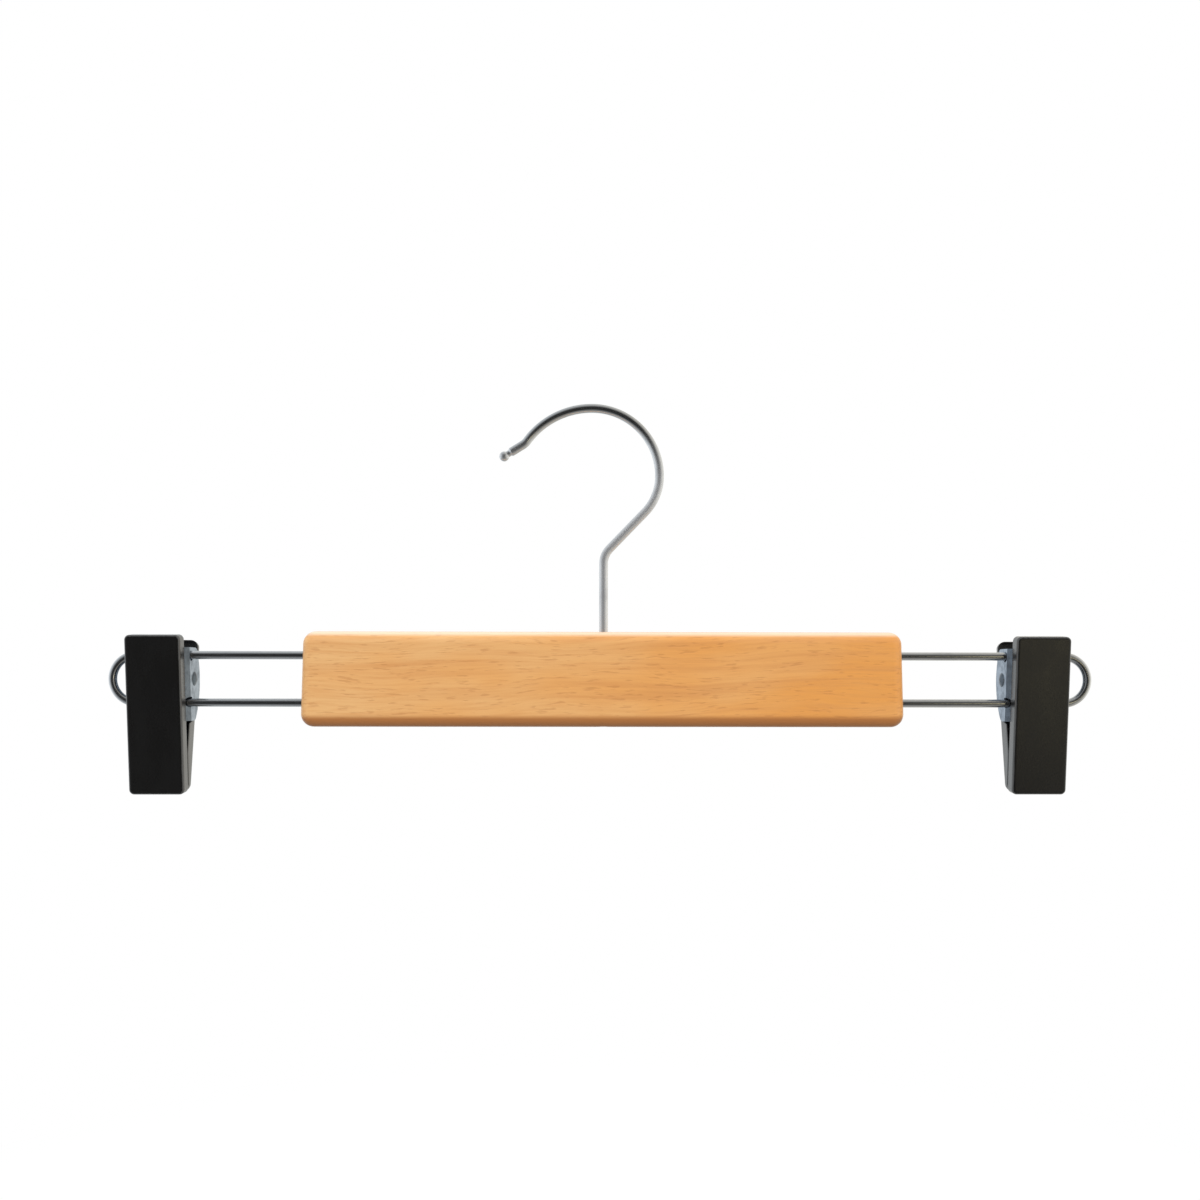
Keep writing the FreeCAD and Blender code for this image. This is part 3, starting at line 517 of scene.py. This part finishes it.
def wire_finish(finish, colours, polished=False):
    """Chrome on wire: faint drawing lines, and dull patches where it was handled.

    On a polished wire a grey film on the lower part gives way to a bright crown.
    """
    place = finish.place()
    lines = finish.noise(finish.flat_map(), (0.03, 0.02, 1.0), detail=3.0, roughness=0.7)
    handled = finish.noise(place, (0.012, 0.012, 0.012), detail=3.0, roughness=0.6)
    specks = finish.noise(place, (0.0006, 0.0006, 0.0006), detail=1.0)
    dull = finish.span(handled, 0.45, 0.75)
    uneven = finish.sum("ADD", finish.sum("MULTIPLY", dull, 0.5), lines)
    roughness = finish.span(uneven, 0.3, 1.1, 0.13, 0.23)
    metal = 1.0
    if polished:
        film = finish.span(finish.axes(place)["Z"], -0.03, -0.003, 1.0, 0.0)
        roughness = finish.sum("ADD", roughness, finish.sum("MULTIPLY", film, 0.12))
        metal = finish.sum("SUBTRACT", 1.0, finish.sum("MULTIPLY", film, 0.3))
    finish.surface(
        Base_Color=finish.blend(dull, colour(colours.chrome), colour(colours.chrome_dull)),
        Metallic=metal,
        Roughness=roughness,
        Normal=finish.bump(finish.sum("ADD", lines, finish.sum("MULTIPLY", specks, 0.3)), 0.000004),
    )


def hook_finish(finish, colours):
    """Chrome on the hook, which the rail has polished at the crown."""
    wire_finish(finish, colours, polished=True)


def plated_finish(finish, bright, dulled):
    """Plating on steel: cloudy spangle, fine rolling lines along Z and dull scuffs."""
    place = finish.place()
    clouds = finish.noise(place, (0.004, 0.004, 0.004), detail=4.0, roughness=0.65)
    lines = finish.noise(place, (0.00012, 0.00012, 0.01), detail=2.0, roughness=0.6)
    scuffs = finish.noise(place, (0.0015, 0.0006, 0.0035), detail=3.0, roughness=0.7)
    dull = finish.span(finish.sum("ADD", clouds, finish.sum("MULTIPLY", scuffs, 0.5)), 0.55, 1.0)
    finish.surface(
        Base_Color=finish.blend(dull, colour(bright), colour(dulled)),
        Metallic=1.0,
        Roughness=finish.span(finish.sum("ADD", dull, lines), 0.3, 1.5, 0.24, 0.46),
        Normal=finish.bump(lines, 0.000006, finish.bump(scuffs, 0.00001)),
    )


def zinc_finish(finish, colours):
    """Bluish zinc on the stamped jaws and the washer."""
    plated_finish(finish, colours.zinc, colours.zinc_dull)


def rivet_finish(finish, colours):
    """Zinc on the rivets, darkened as painted shade of their heads."""
    plated_finish(finish, colours.rivet, colours.rivet_dull)


def plastic_finish(finish, colours):
    """Black moulded plastic: a fine sparked grain, soft flow marks, scratches, and rounded edges made paler
    as a painted highlight.
    """
    place = finish.place()
    grain = finish.noise(place, (0.00022, 0.00022, 0.00022), detail=2.0, roughness=0.6)
    flow = finish.noise(place, (0.009, 0.009, 0.02), detail=3.0, roughness=0.55)
    scratches = finish.noise(place, (0.0005, 0.0005, 0.012), detail=3.0, roughness=0.7)
    # Painted highlight: the rounded edges made paler, together with real scratches
    rim_highlight = finish.span(finish.sum("ADD", finish.attribute("wear"), scratches), 0.9, 1.5)
    scratched = finish.span(scratches, 0.66, 0.78, 0.0, 0.06)
    paler_share = finish.sum("MAXIMUM", finish.sum("MULTIPLY", rim_highlight, 0.7), scratched)
    uneven = finish.sum("ADD", flow, finish.sum("MULTIPLY", grain, 0.4))
    finish.surface(
        Base_Color=finish.blend(paler_share, colour(colours.plastic), colour(colours.plastic_highlight_and_scratch)),
        Roughness=finish.span(uneven, 0.4, 1.0, 0.2, 0.36),
        Normal=finish.bump(grain, 0.000012, finish.bump(scratches, 0.000006)),
        IOR=1.55,
        Coat_Weight=0.6,
        Coat_Roughness=0.3,
        Coat_IOR=1.6,
    )


def rubber_finish(finish, colours):
    """Matt black rubber with a dusty bloom and a coarse moulded grain."""
    place = finish.place()
    bloom = finish.noise(place, (0.003, 0.003, 0.002), detail=4.0, roughness=0.6)
    grain = finish.noise(place, (0.0003, 0.0003, 0.0003), detail=2.0)
    dust = finish.span(bloom, 0.4, 0.75, 0.0, 0.7)
    finish.surface(
        Base_Color=finish.blend(dust, colour(colours.rubber), colour(colours.rubber_dusty)),
        Roughness=finish.span(bloom, 0.3, 0.7, 0.62, 0.85),
        Normal=finish.bump(grain, 0.00003),
    )


def spring_finish(finish, colours):
    """Drawn spring steel: fine lines along the wire under an uneven film of oil."""
    lines = finish.noise(finish.flat_map(), (0.02, 0.05, 1.0), detail=3.0, roughness=0.7)
    film = finish.noise(finish.place(), (0.003, 0.003, 0.003), detail=3.0, roughness=0.6)
    oil = finish.span(film, 0.35, 0.7)
    finish.surface(
        Base_Color=finish.blend(oil, colour(colours.spring), colour(colours.spring_oiled)),
        Metallic=1.0,
        Roughness=finish.span(finish.sum("ADD", lines, film), 0.5, 1.4, 0.2, 0.42),
        Normal=finish.bump(lines, 0.000006),
    )


FINISHES = {
    "beech": beech_finish,
    "chrome": wire_finish,
    "hook": hook_finish,
    "zinc": zinc_finish,
    "rivet": rivet_finish,
    "plastic": plastic_finish,
    "rubber": rubber_finish,
    "spring": spring_finish,
}


def finish_of(name):
    """The material of a name, made at its first use."""
    material = bpy.data.materials.get(f"hanger_{name}")
    if material is None:
        material = bpy.data.materials.new(f"hanger_{name}")
        FINISHES[name](Finish(material), bpy.context.scene.hanger_colours)
    return material


def dress(node, name):
    """Gives a CAD node a finish."""
    mesh = frame["nodes"][node].data
    mesh.materials.clear()
    mesh.materials.append(finish_of(name))


# Pieces

class HANGER_OT_bar(bpy.types.Operator):
    """Finish the wooden bar and the washer under its hook"""

    bl_idname = "hanger.bar"
    bl_label = "Wooden Bar"

    def execute(self, context):
        dress("wooden_bar", "beech")
        dress("hook_washer", "zinc")
        return {"FINISHED"}


class HANGER_OT_hook(bpy.types.Operator):
    """Make the swivel hook as one bent wire with a headed foot and a ball at its tip"""

    bl_idname = "hanger.hook"
    bl_label = "Swivel Hook"

    def execute(self, context):
        sizes = context.scene.hanger_wires
        right_centre = BAR_HIGH.z + sizes.rise - sizes.right_radius
        lower_x = sizes.right_radius - sizes.lower_radius - sizes.offset
        neck_x = lower_x + sizes.lower_radius * math.sin(sizes.flank_angle)
        neck_z = right_centre - sizes.lower_radius * math.cos(sizes.flank_angle)
        kink_z = neck_z - neck_x * math.tan(sizes.flank_angle)
        kink_turn = RIGHT_ANGLE - sizes.flank_angle
        kink_run = sizes.kink_radius * math.tan(kink_turn / 2)
        places, along = bent_path((0.0, 0.0, HOOK_FOOT), RIGHT_ANGLE, [
            (kink_z - kink_run - HOOK_FOOT, 0.0),
            (sizes.kink_radius * kink_turn, -kink_turn),
            (neck_x / math.cos(sizes.flank_angle) - kink_run, 0.0),
            (sizes.lower_radius * kink_turn, kink_turn),
            (sizes.right_radius * RIGHT_ANGLE, RIGHT_ANGLE),
            (sizes.left_radius * sizes.left_sweep, sizes.left_sweep),
            (sizes.tip_bend_radius * sizes.tip_bend_angle, -sizes.tip_bend_angle),
            (sizes.tip_length + sizes.neck_length + sizes.ball, 0.0),
        ])
        places, along, radii = self.shaped(sizes, places, along)
        rings = tube(places, radii, ALONG_Y, WIRE_SIDES)
        piece = new_piece("hook_wire", [skin(rings, along)], finish_of("hook"))
        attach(piece, "hook")
        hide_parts("swivel_hook")
        return {"FINISHED"}

    @staticmethod
    def shaped(sizes, places, along):
        """The wire's places with more of them at the foot and tip, and its radius there.

        The radius is a ball's half chord at the tip, a neck that eases to the wire, and wider at the head.
        """
        end = along[-1]
        ball = sizes.ball / 2
        neck_from = end - sizes.ball - sizes.neck_length
        tip = sizes.ball + sizes.neck_length * 2
        quarter = np.linspace(0.0, RIGHT_ANGLE, TIP_POINTS)
        close = np.concatenate((
            np.linspace(0.0, sizes.head_thickness * HEAD_SHARE, HEAD_POINTS),
            end - sizes.ball - sizes.neck_length * 2 + tip * np.sin(quarter),
        ))
        dense = np.unique(np.concatenate((along, close)))
        places = np.column_stack([np.interp(dense, along, places[:, axis]) for axis in range(3)])
        chord = np.sqrt(np.clip(ball ** 2 - (dense - end + ball) ** 2, 0.0, None))
        eased = (neck_from, neck_from + sizes.neck_length / 2)
        wire = np.interp(dense, eased, (sizes.wire / 2, sizes.neck / 2))
        shaft = np.where(dense < end - ball, wire, 0.0)
        foot = np.clip(dense / (sizes.head_thickness / 4), 0.0, 1.0)
        head = np.where(dense <= sizes.head_thickness, sizes.head / 2 * np.sqrt(1 - (1 - foot) ** 2), 0.0)
        return places, dense, np.maximum.reduce((chord, shaft * (dense > 0), head))


class HANGER_OT_rods(bpy.types.Operator):
    """Make the rod loops, each a wire bent back on itself with both ends in the bar"""

    bl_idname = "hanger.rods"
    bl_label = "Rod Loops"

    def execute(self, context):
        sizes = context.scene.hanger_wires
        bend = sizes.rod_spacing / 2
        for side, way in zip(SIDES, (-1, 1)):
            low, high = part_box(f"{side}_rod_loop")
            inner = high.x if way < 0 else low.x
            run = high.x - low.x - sizes.rod / 2 - bend
            start = (inner, 0.0, MIDDLE_Z + bend)
            heading = 0.0 if way > 0 else math.pi
            places, along = bent_path(
                start, heading, [(run, 0.0), (bend * math.pi, -way * math.pi), (run, 0.0)]
            )
            radii = rounded_ends(along, sizes.rod / 2, sizes.rod / 4)
            rings = tube(places, radii, ALONG_Y, WIRE_SIDES)
            piece = new_piece(f"{side}_rod_wire", [skin(rings, along)], finish_of("chrome"))
            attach(piece, "bar")
            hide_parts(f"{side}_rod_loop")
        return {"FINISHED"}


def lean_of(clip, jaw):
    """The lean of a jaw from upright."""
    return clip.front_lean if jaw == FRONT else clip.rear_lean


def face_depth(context, jaw):
    """Where a cover's outer face lies along Y, level with the middle of the rods."""
    clip = context.scene.hanger_clips
    wires = context.scene.hanger_wires
    overhang = wires.rod_spacing / 2 * math.tan(clip.front_lean)
    front_wall = clip.front_depth / math.cos(clip.front_lean) + overhang
    front_face = -(wires.rod / 2 + clip.wall_rod_gap + front_wall)
    if jaw == FRONT:
        return front_face
    spread = clip.bottom * (math.sin(clip.front_lean) + math.sin(clip.rear_lean))
    walls = clip.front_depth * math.cos(clip.front_lean) + clip.rear_depth * math.cos(clip.rear_lean)
    return front_face + spread + walls + clip.wall_gap


def in_clip(context, corners, side, jaw):
    """Corners of a jaw's leaning frame in the object's frame: turned about X, then moved to the jaw's face.

    The leaning frame has its origin on the cover's outer face, level with the middle of the rods.
    """
    lean = jaw * lean_of(context.scene.hanger_clips, jaw)
    y = jaw * corners[:, 1]
    z = corners[:, 2]
    return np.column_stack((
        corners[:, 0] + PIVOTS[side][0],
        y * math.cos(lean) - z * math.sin(lean) + face_depth(context, jaw),
        y * math.sin(lean) + z * math.cos(lean) + MIDDLE_Z,
    ))


class HANGER_OT_covers(bpy.types.Operator):
    """Make the plastic covers as rounded trays with melted stakes"""

    bl_idname = "hanger.covers"
    bl_label = "Clip Covers"

    def execute(self, context):
        clip = context.scene.hanger_clips
        for side in SIDES:
            for jaw, name, depth, top, corner in (
                (FRONT, "front", clip.front_depth, clip.top, clip.front_corner),
                (REAR, "rear", clip.rear_depth, clip.top - clip.rear_drop, clip.rear_corner),
            ):
                profile, wear = self.wall_profile(clip, depth)
                rings = tray(clip.width / 2, -clip.bottom, top, corner, profile)
                if jaw == REAR:
                    rings = self.with_cheeks(clip, rings)
                # The share of painted edge highlight at each corner; none on the stakes
                paler_share = np.concatenate((np.repeat(wear[1:-1], rings.shape[1]), wear[[0, -1]]))
                shells = [self.placed(context, rings, side, jaw)]
                for height in (clip.stake_upper, -clip.stake_lower):
                    stake = self.stake_rings(clip) + np.array((0.0, 0.0, height))
                    shells.append(self.placed(context, stake, side, jaw))
                    paler_share = np.concatenate((paler_share, np.zeros(len(shells[-1][0]))))
                piece = new_piece(
                    f"{side}_{name}_shell", shells, finish_of("plastic"), paler_share, SHELL_CREASE
                )
                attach(piece, f"{side}_clip" if jaw == FRONT else f"{side}_lever")
                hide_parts(f"{side}_{name}_cover")
        return {"FINISHED"}

    @staticmethod
    def wall_profile(clip, depth):
        """Insets and depths from the face's middle over the edge, wall and rim to the tray's floor."""
        rise, run = quarter_round(clip.edge, EDGE_POINTS)
        rim_rise, rim_run = quarter_round(clip.rim, EDGE_POINTS)
        middle = clip.width / 2 - clip.edge
        points = [(middle, 0.0), (middle * POLE_SHARE, 0.0), (clip.edge * EDGE_SHARE, 0.0)]
        # The rounded outer edge takes the painted highlight
        highlit = slice(len(points), len(points) + EDGE_POINTS)
        points += list(zip(clip.edge - run, rise))
        points += [(0.0, clip.edge * EDGE_SHARE), (0.0, depth - clip.rim * 2)]
        points += list(zip(rim_rise, depth - clip.rim + rim_run))
        points += list(zip(clip.wall - clip.rim + rim_run, depth - rim_rise))
        points += list(zip(clip.wall + rim_rise, clip.face + clip.rim - rim_run))
        points += [(middle * POLE_SHARE, clip.face), (middle, clip.face)]
        wear = np.zeros(len(points))
        wear[highlit] = np.sin(np.linspace(0.0, math.pi, EDGE_POINTS))
        return points, wear

    @staticmethod
    def with_cheeks(clip, rings):
        """The rear tray with deeper walls: evenly more from foot to cheek's heel, and none over its tip."""
        height = rings[:, :, 2]
        levels = (-clip.bottom, -clip.cheek_heel, -clip.cheek_tip, -clip.cheek_top)
        stretch = np.interp(height, levels, (0.0, 1.0, 1.0, 0.0))
        share = np.clip((rings[:, :, 1] - clip.face) / (clip.rear_depth - clip.face), 0.0, 1.0)
        deeper = share * stretch * (clip.cheek_depth - clip.rear_depth)
        return np.stack((rings[:, :, 0], rings[:, :, 1] + deeper, height), axis=2)

    @staticmethod
    def stake_rings(clip):
        """A stake with a melted head: its radius along Y, with half an ellipse as a dome over the plate."""
        root = clip.face * STAKE_SHARE
        plate = clip.face + clip.steel
        angle = np.linspace(0.0, RIGHT_ANGLE, DOME_POINTS)
        profile = [(root, 0.0), (root, clip.stake / 2), (plate, clip.stake / 2)]
        profile += list(zip(
            plate + clip.stake_proud * np.sin(angle),
            np.maximum(clip.stake_head / 2 * np.cos(angle), 0.0),
        ))
        return turned(profile, ALONG_Y, TURNED_SIDES)

    @staticmethod
    def placed(context, rings, side, jaw):
        """A closed shell through rings of a jaw's leaning frame."""
        flat = in_clip(context, rings.reshape(-1, 3), side, jaw)
        return skin(flat.reshape(rings.shape))


class HANGER_OT_jaws(bpy.types.Operator):
    """Finish the stamped steel jaws"""

    bl_idname = "hanger.jaws"
    bl_label = "Steel Jaws"

    def execute(self, context):
        for side in SIDES:
            dress(f"{side}_front_jaw", "zinc")
            dress(f"{side}_rear_jaw", "zinc")
        return {"FINISHED"}


class HANGER_OT_pads(bpy.types.Operator):
    """Finish the ribbed grip pads"""

    bl_idname = "hanger.pads"
    bl_label = "Grip Pads"

    def execute(self, context):
        for side in SIDES:
            dress(f"{side}_front_pad", "rubber")
            dress(f"{side}_rear_pad", "rubber")
        return {"FINISHED"}


class HANGER_OT_rivets(bpy.types.Operator):
    """Make the rivets with domed heads"""

    bl_idname = "hanger.rivets"
    bl_label = "Rivets"

    def execute(self, context):
        clip = context.scene.hanger_clips
        for side in SIDES:
            low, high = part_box(f"{side}_rivet")
            seat = (high.x - low.x) / 2 - clip.rivet_rise
            dome = (clip.rivet_head ** 2 / 4 + clip.rivet_rise ** 2) / (2 * clip.rivet_rise)
            angle = np.linspace(math.asin(clip.rivet_head / (2 * dome)), 0.0, DOME_POINTS)
            rise = seat + clip.rivet_rise - dome + dome * np.cos(angle)
            half = [(seat, clip.rivet / 2), *zip(rise, dome * np.sin(angle))]
            profile = [(-reach, round_it) for reach, round_it in reversed(half)] + half
            rings = turned(profile, (1.0, 0.0, 0.0), TURNED_SIDES) + np.array(PIVOTS[side])
            piece = new_piece(
                f"{side}_domed_rivet", [skin(rings)], finish_of("rivet"), sharp=RIVET_CREASE
            )
            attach(piece, f"{side}_clip")
            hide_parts(f"{side}_rivet")
        return {"FINISHED"}


class HANGER_OT_springs(bpy.types.Operator):
    """Make the torsion springs round the rivets, with a leg to each jaw"""

    bl_idname = "hanger.springs"
    bl_label = "Torsion Springs"

    def execute(self, context):
        clip = context.scene.hanger_clips
        for side in SIDES:
            places = self.wound(context, side)
            pivot = np.array(PIVOTS[side])
            along = np.concatenate(([0.0], np.cumsum(np.linalg.norm(np.diff(places, axis=0), axis=1))))
            radii = rounded_ends(along, clip.spring_wire / 2, clip.spring_wire / 4)
            outwards = (places - pivot) * np.array((0.0, 1.0, 1.0))
            piece = new_piece(
                f"{side}_wound_spring", [skin(tube(places, radii, outwards, SPRING_SIDES), along)],
                finish_of("spring"),
            )
            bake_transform(piece)
            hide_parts(f"{side}_spring")
        return {"FINISHED"}

    @staticmethod
    def wound(context, side):
        """Places along a spring's wire: a helix about the rivet, with a straight leg to each jaw.

        A leg leaves the helix along its tangent. The helix turns evenly and eases in and out along X.
        """
        clip = context.scene.hanger_clips
        pivot = np.array(PIVOTS[side])
        radius = clip.rivet / 2 + clip.spring_gap + clip.spring_wire / 2
        depth = clip.face + clip.steel + clip.spring_wire / 2 + clip.spring_seat
        ends, angles = [], []
        for jaw, height, turn in ((FRONT, clip.spring_front, 1), (REAR, clip.spring_rear, -1)):
            lean = lean_of(clip, jaw)
            inwards = depth / math.cos(lean) - height * math.tan(lean)
            end = np.array((face_depth(context, jaw) + jaw * inwards, pivot[2] + height))
            away = end - pivot[1:]
            ends.append(end)
            angles.append(math.atan2(away[1], away[0]) + turn * math.acos(radius / np.linalg.norm(away)))
        sweep = (angles[1] - angles[0]) % FULL_TURN + FULL_TURN * clip.spring_turns
        turns = sweep / FULL_TURN
        share = np.linspace(0.0, 1.0, int(turns * TURN_POINTS) + 1)
        pace = np.clip(np.minimum(share, 1 - share) * turns / EASE_TURN, 0.0, 1.0)
        advance = np.concatenate(([0.0], np.cumsum((pace[1:] + pace[:-1]) / 2)))
        x = clip.spring_pitch * turns * (advance / advance[-1] - 1 / 2)
        angle = angles[0] + sweep * share
        coil = pivot + np.column_stack((x, radius * np.cos(angle), radius * np.sin(angle)))
        legs = []
        for end, root in ((ends[0], coil[0]), (ends[1], coil[-1])):
            tip = np.array((root[0], *end))
            legs.append(tip + np.linspace(0.0, 1.0, LEG_POINTS, endpoint=False)[:, None] * (root - tip))
        return np.vstack((legs[0], coil, legs[1][::-1]))


# Stage

FLOOR_DROP = 0.26
FLOOR_RADIUS = 4.0
FLOOR_RINGS = 24
FLOOR_SIDES = 96
FLOOR_FADE = (0.22, 0.5)
FLOOR_SEEN = (0.93, 0.93, 0.93, 1.0)
FLOOR_BOUNCE = (0.3, 0.3, 0.3, 1.0)
WHITE = (1.0, 1.0, 1.0, 1.0)
COOL = (0.92, 0.97, 1.0, 1.0)
WARM = (1.0, 0.97, 0.88, 1.0)
FRONT_TURN = math.radians(5)
DARK_TURN = (math.radians(20), math.radians(95))
DARK_RISE = (math.radians(30), math.radians(90))
CAMERA_DISTANCE = 0.41
CAMERA_TURN = math.radians(-0.94)
CAMERA_ROLL = math.radians(-0.09)
LENS_SHARE = 0.9427
EYE_SHIFT = (-0.0028, 0.0662)
# The lamps: name, place, diameter, power, colour, and whether polished pieces mirror it
LAMPS = (
    ("key_lamp", (-0.25, -0.95, 0.5), 0.7, 4.4, (1.0, 1.0, 1.0), False),
    ("fill_lamp", (1.0, -0.7, 0.15), 0.6, 2.0, (1.0, 1.0, 1.0), False),
    ("low_card", (0.53, -0.92, -0.205), 0.2, 0.072, (1.0, 0.88, 0.5), True),
)


def floor_finish():
    """A pale floor that keeps the object's shadow, and fades to plain white away from the object."""
    material = bpy.data.materials.new("pale_floor")
    finish = Finish(material)
    finish.tree.nodes.remove(finish.shader)
    axes = finish.axes(finish.place())
    away = finish.sum("SQRT", finish.sum(
        "ADD", finish.sum("MULTIPLY", axes["X"], axes["X"]), finish.sum("MULTIPLY", axes["Y"], axes["Y"])
    ))
    seen = finish.add("ShaderNodeLightPath").outputs["Is Camera Ray"]
    shade = finish.blend(seen, FLOOR_BOUNCE, FLOOR_SEEN)
    shaded = finish.add("ShaderNodeBsdfDiffuse", {"Color": shade}).outputs["BSDF"]
    white = finish.add("ShaderNodeEmission", {"Color": WHITE, "Strength": 1.0}).outputs["Emission"]
    share = finish.sum("MULTIPLY", seen, finish.span(away, *FLOOR_FADE))
    mixed = finish.add("ShaderNodeMixShader", {0: share, 1: shaded, 2: white}).outputs["Shader"]
    finish.join(mixed, finish.tree.nodes["Material Output"].inputs["Surface"])
    return material


class HANGER_OT_stage(bpy.types.Operator):
    """Set up the floor, the light and the camera"""

    bl_idname = "hanger.stage"
    bl_label = "Stage"

    def execute(self, context):
        self.add_floor(context)
        self.add_world(context)
        self.add_lamps(context)
        self.add_camera(context)
        context.scene.view_settings.view_transform = "Standard"
        return {"FINISHED"}

    @staticmethod
    def add_floor(context):
        """A round floor: rings whose radius grows with the square of their number."""
        radius = FLOOR_RADIUS * np.linspace(0.0, 1.0, FLOOR_RINGS + 1)[1:] ** 2
        angle = np.linspace(0.0, FULL_TURN, FLOOR_SIDES, endpoint=False)
        x = np.outer(radius, np.cos(angle)).ravel()
        y = np.outer(radius, np.sin(angle)).ravel()
        low = CAD_BOX[0][2] - FLOOR_DROP
        corners = np.column_stack((x, y, np.full(x.shape, low)))
        row, column = np.meshgrid(np.arange(FLOOR_RINGS - 1), np.arange(FLOOR_SIDES), indexing="ij")
        row, column = row.ravel() * FLOOR_SIDES, column.ravel()
        following = (column + 1) % FLOOR_SIDES
        quads = np.column_stack((
            row + column, row + FLOOR_SIDES + column, row + FLOOR_SIDES + following, row + following,
        ))
        mesh = bpy.data.meshes.new("floor")
        mesh.from_pydata(corners.tolist(), [], quads.tolist() + [list(range(FLOOR_SIDES))])
        mesh.materials.append(floor_finish())
        floor = bpy.data.objects.new("floor", mesh)
        context.scene.collection.objects.link(floor)
        floor.visible_glossy = False

    @staticmethod
    def add_world(context):
        """A white tent with a dark front: plain white to the camera, and softer from below."""
        world = bpy.data.worlds.new("tent")
        context.scene.world = world
        finish = Finish(world)
        way = finish.axes(finish.add("ShaderNodeTexCoord").outputs["Generated"])
        rays = finish.add("ShaderNodeLightPath").outputs
        soft = finish.span(way["Z"], -0.6, 0.7, 0.35, 1.1)
        walls = finish.sum(
            "MULTIPLY",
            finish.span(way["Z"], 0.2, 0.9, 0.95, 0.6),
            finish.span(way["Z"], -0.9, -0.1, 0.45, 1.0),
        )
        turn = finish.sum("ARCTAN2", way["X"], finish.sum("MULTIPLY", way["Y"], -1.0))
        aside = finish.sum("ABSOLUTE", finish.sum("ADD", turn, FRONT_TURN))
        rise = finish.sum("ABSOLUTE", finish.sum("ARCSINE", way["Z"]))
        dark = finish.sum(
            "MULTIPLY",
            finish.span(aside, *DARK_TURN, 0.97, 0.0, smooth=False),
            finish.span(rise, *DARK_RISE, 1.0, 0.0, smooth=False),
        )
        mirrored = finish.sum("MULTIPLY", walls, finish.sum("SUBTRACT", 1.0, dark))
        strength = finish.add("ShaderNodeMix", {0: rays["Is Glossy Ray"], 2: soft, 3: mirrored}).outputs[0]
        shown = finish.add("ShaderNodeMix", {0: rays["Is Camera Ray"], 2: strength, 3: 1.0}).outputs[0]
        tint = finish.blend(finish.span(way["X"], -0.6, 0.6), COOL, WARM)
        background = finish.tree.nodes["Background"]
        finish.join(finish.blend(rays["Is Glossy Ray"], WHITE, tint), background.inputs["Color"])
        finish.join(shown, background.inputs["Strength"])

    @staticmethod
    def add_lamps(context):
        """A broad soft lamp over the front, a weaker one at the right and a dim warm card for the gloss."""
        target = np.array((0.0, 0.0, MIDDLE_Z))
        for name, place, diameter, power, shade, mirrored in LAMPS:
            lamp = bpy.data.lights.new(name, "AREA")
            lamp.shape = "DISK"
            lamp.size = diameter
            lamp.energy = power
            lamp.color = shade
            holder = bpy.data.objects.new(name, lamp)
            way = target - np.array(place)
            holder.location = place
            holder.rotation_euler = (
                math.atan2(math.hypot(way[0], way[1]), -way[2]), 0.0, math.atan2(-way[0], way[1])
            )
            holder.visible_camera = False
            holder.visible_glossy = mirrored
            context.scene.collection.objects.link(holder)

    @staticmethod
    def add_camera(context):
        """The photograph's view, close in front of the bar, with the lens shifted to set the bar low."""
        camera = bpy.data.cameras.new("camera")
        camera.lens = camera.sensor_width * LENS_SHARE
        camera.shift_x, camera.shift_y = EYE_SHIFT
        camera.clip_start = 0.01
        holder = bpy.data.objects.new("camera", camera)
        holder.location = (
            CAMERA_DISTANCE * math.sin(CAMERA_TURN), -CAMERA_DISTANCE * math.cos(CAMERA_TURN), MIDDLE_Z
        )
        holder.rotation_euler = (RIGHT_ANGLE, CAMERA_ROLL, CAMERA_TURN)
        context.scene.collection.objects.link(holder)
        context.scene.camera = holder


class HANGER_PT_panel(bpy.types.Panel):
    """Lists the hanger's pieces and settings"""

    bl_idname = "HANGER_PT_panel"
    bl_label = "Skirt Hanger"
    bl_space_type = "VIEW_3D"
    bl_region_type = "UI"
    bl_category = "Hanger"

    def draw(self, context):
        for operator in OPERATORS:
            self.layout.operator(operator.bl_idname)
        for name in GROUPS:
            group = getattr(context.scene, name)
            box = self.layout.box()
            for setting in group.bl_rna.properties.keys():
                if setting not in ("rna_type", "name"):
                    box.prop(group, setting)


OPERATORS = (
    HANGER_OT_stage,
    HANGER_OT_bar,
    HANGER_OT_hook,
    HANGER_OT_rods,
    HANGER_OT_covers,
    HANGER_OT_jaws,
    HANGER_OT_pads,
    HANGER_OT_rivets,
    HANGER_OT_springs,
)
GROUPS = {
    "hanger_wires": HangerWireSizes,
    "hanger_clips": HangerClipSizes,
    "hanger_colours": HangerColours,
}


def register():
    """Registers the settings, the operators and the panel."""
    for name, group in GROUPS.items():
        bpy.utils.register_class(group)
        setattr(bpy.types.Scene, name, bpy.props.PointerProperty(type=group))
    for kind in (*OPERATORS, HANGER_PT_panel):
        bpy.utils.register_class(kind)


def unregister():
    """Takes the panel, the operators and the settings away again."""
    for kind in (HANGER_PT_panel, *reversed(OPERATORS)):
        bpy.utils.unregister_class(kind)
    for name, group in reversed(GROUPS.items()):
        delattr(bpy.types.Scene, name)
        bpy.utils.unregister_class(group)


def main():
    """Makes the stage and every piece."""
    register()
    for operator in OPERATORS:
        group, name = operator.bl_idname.split(".")
        getattr(getattr(bpy.ops, group), name)()


if __name__ == "__main__":
    main()
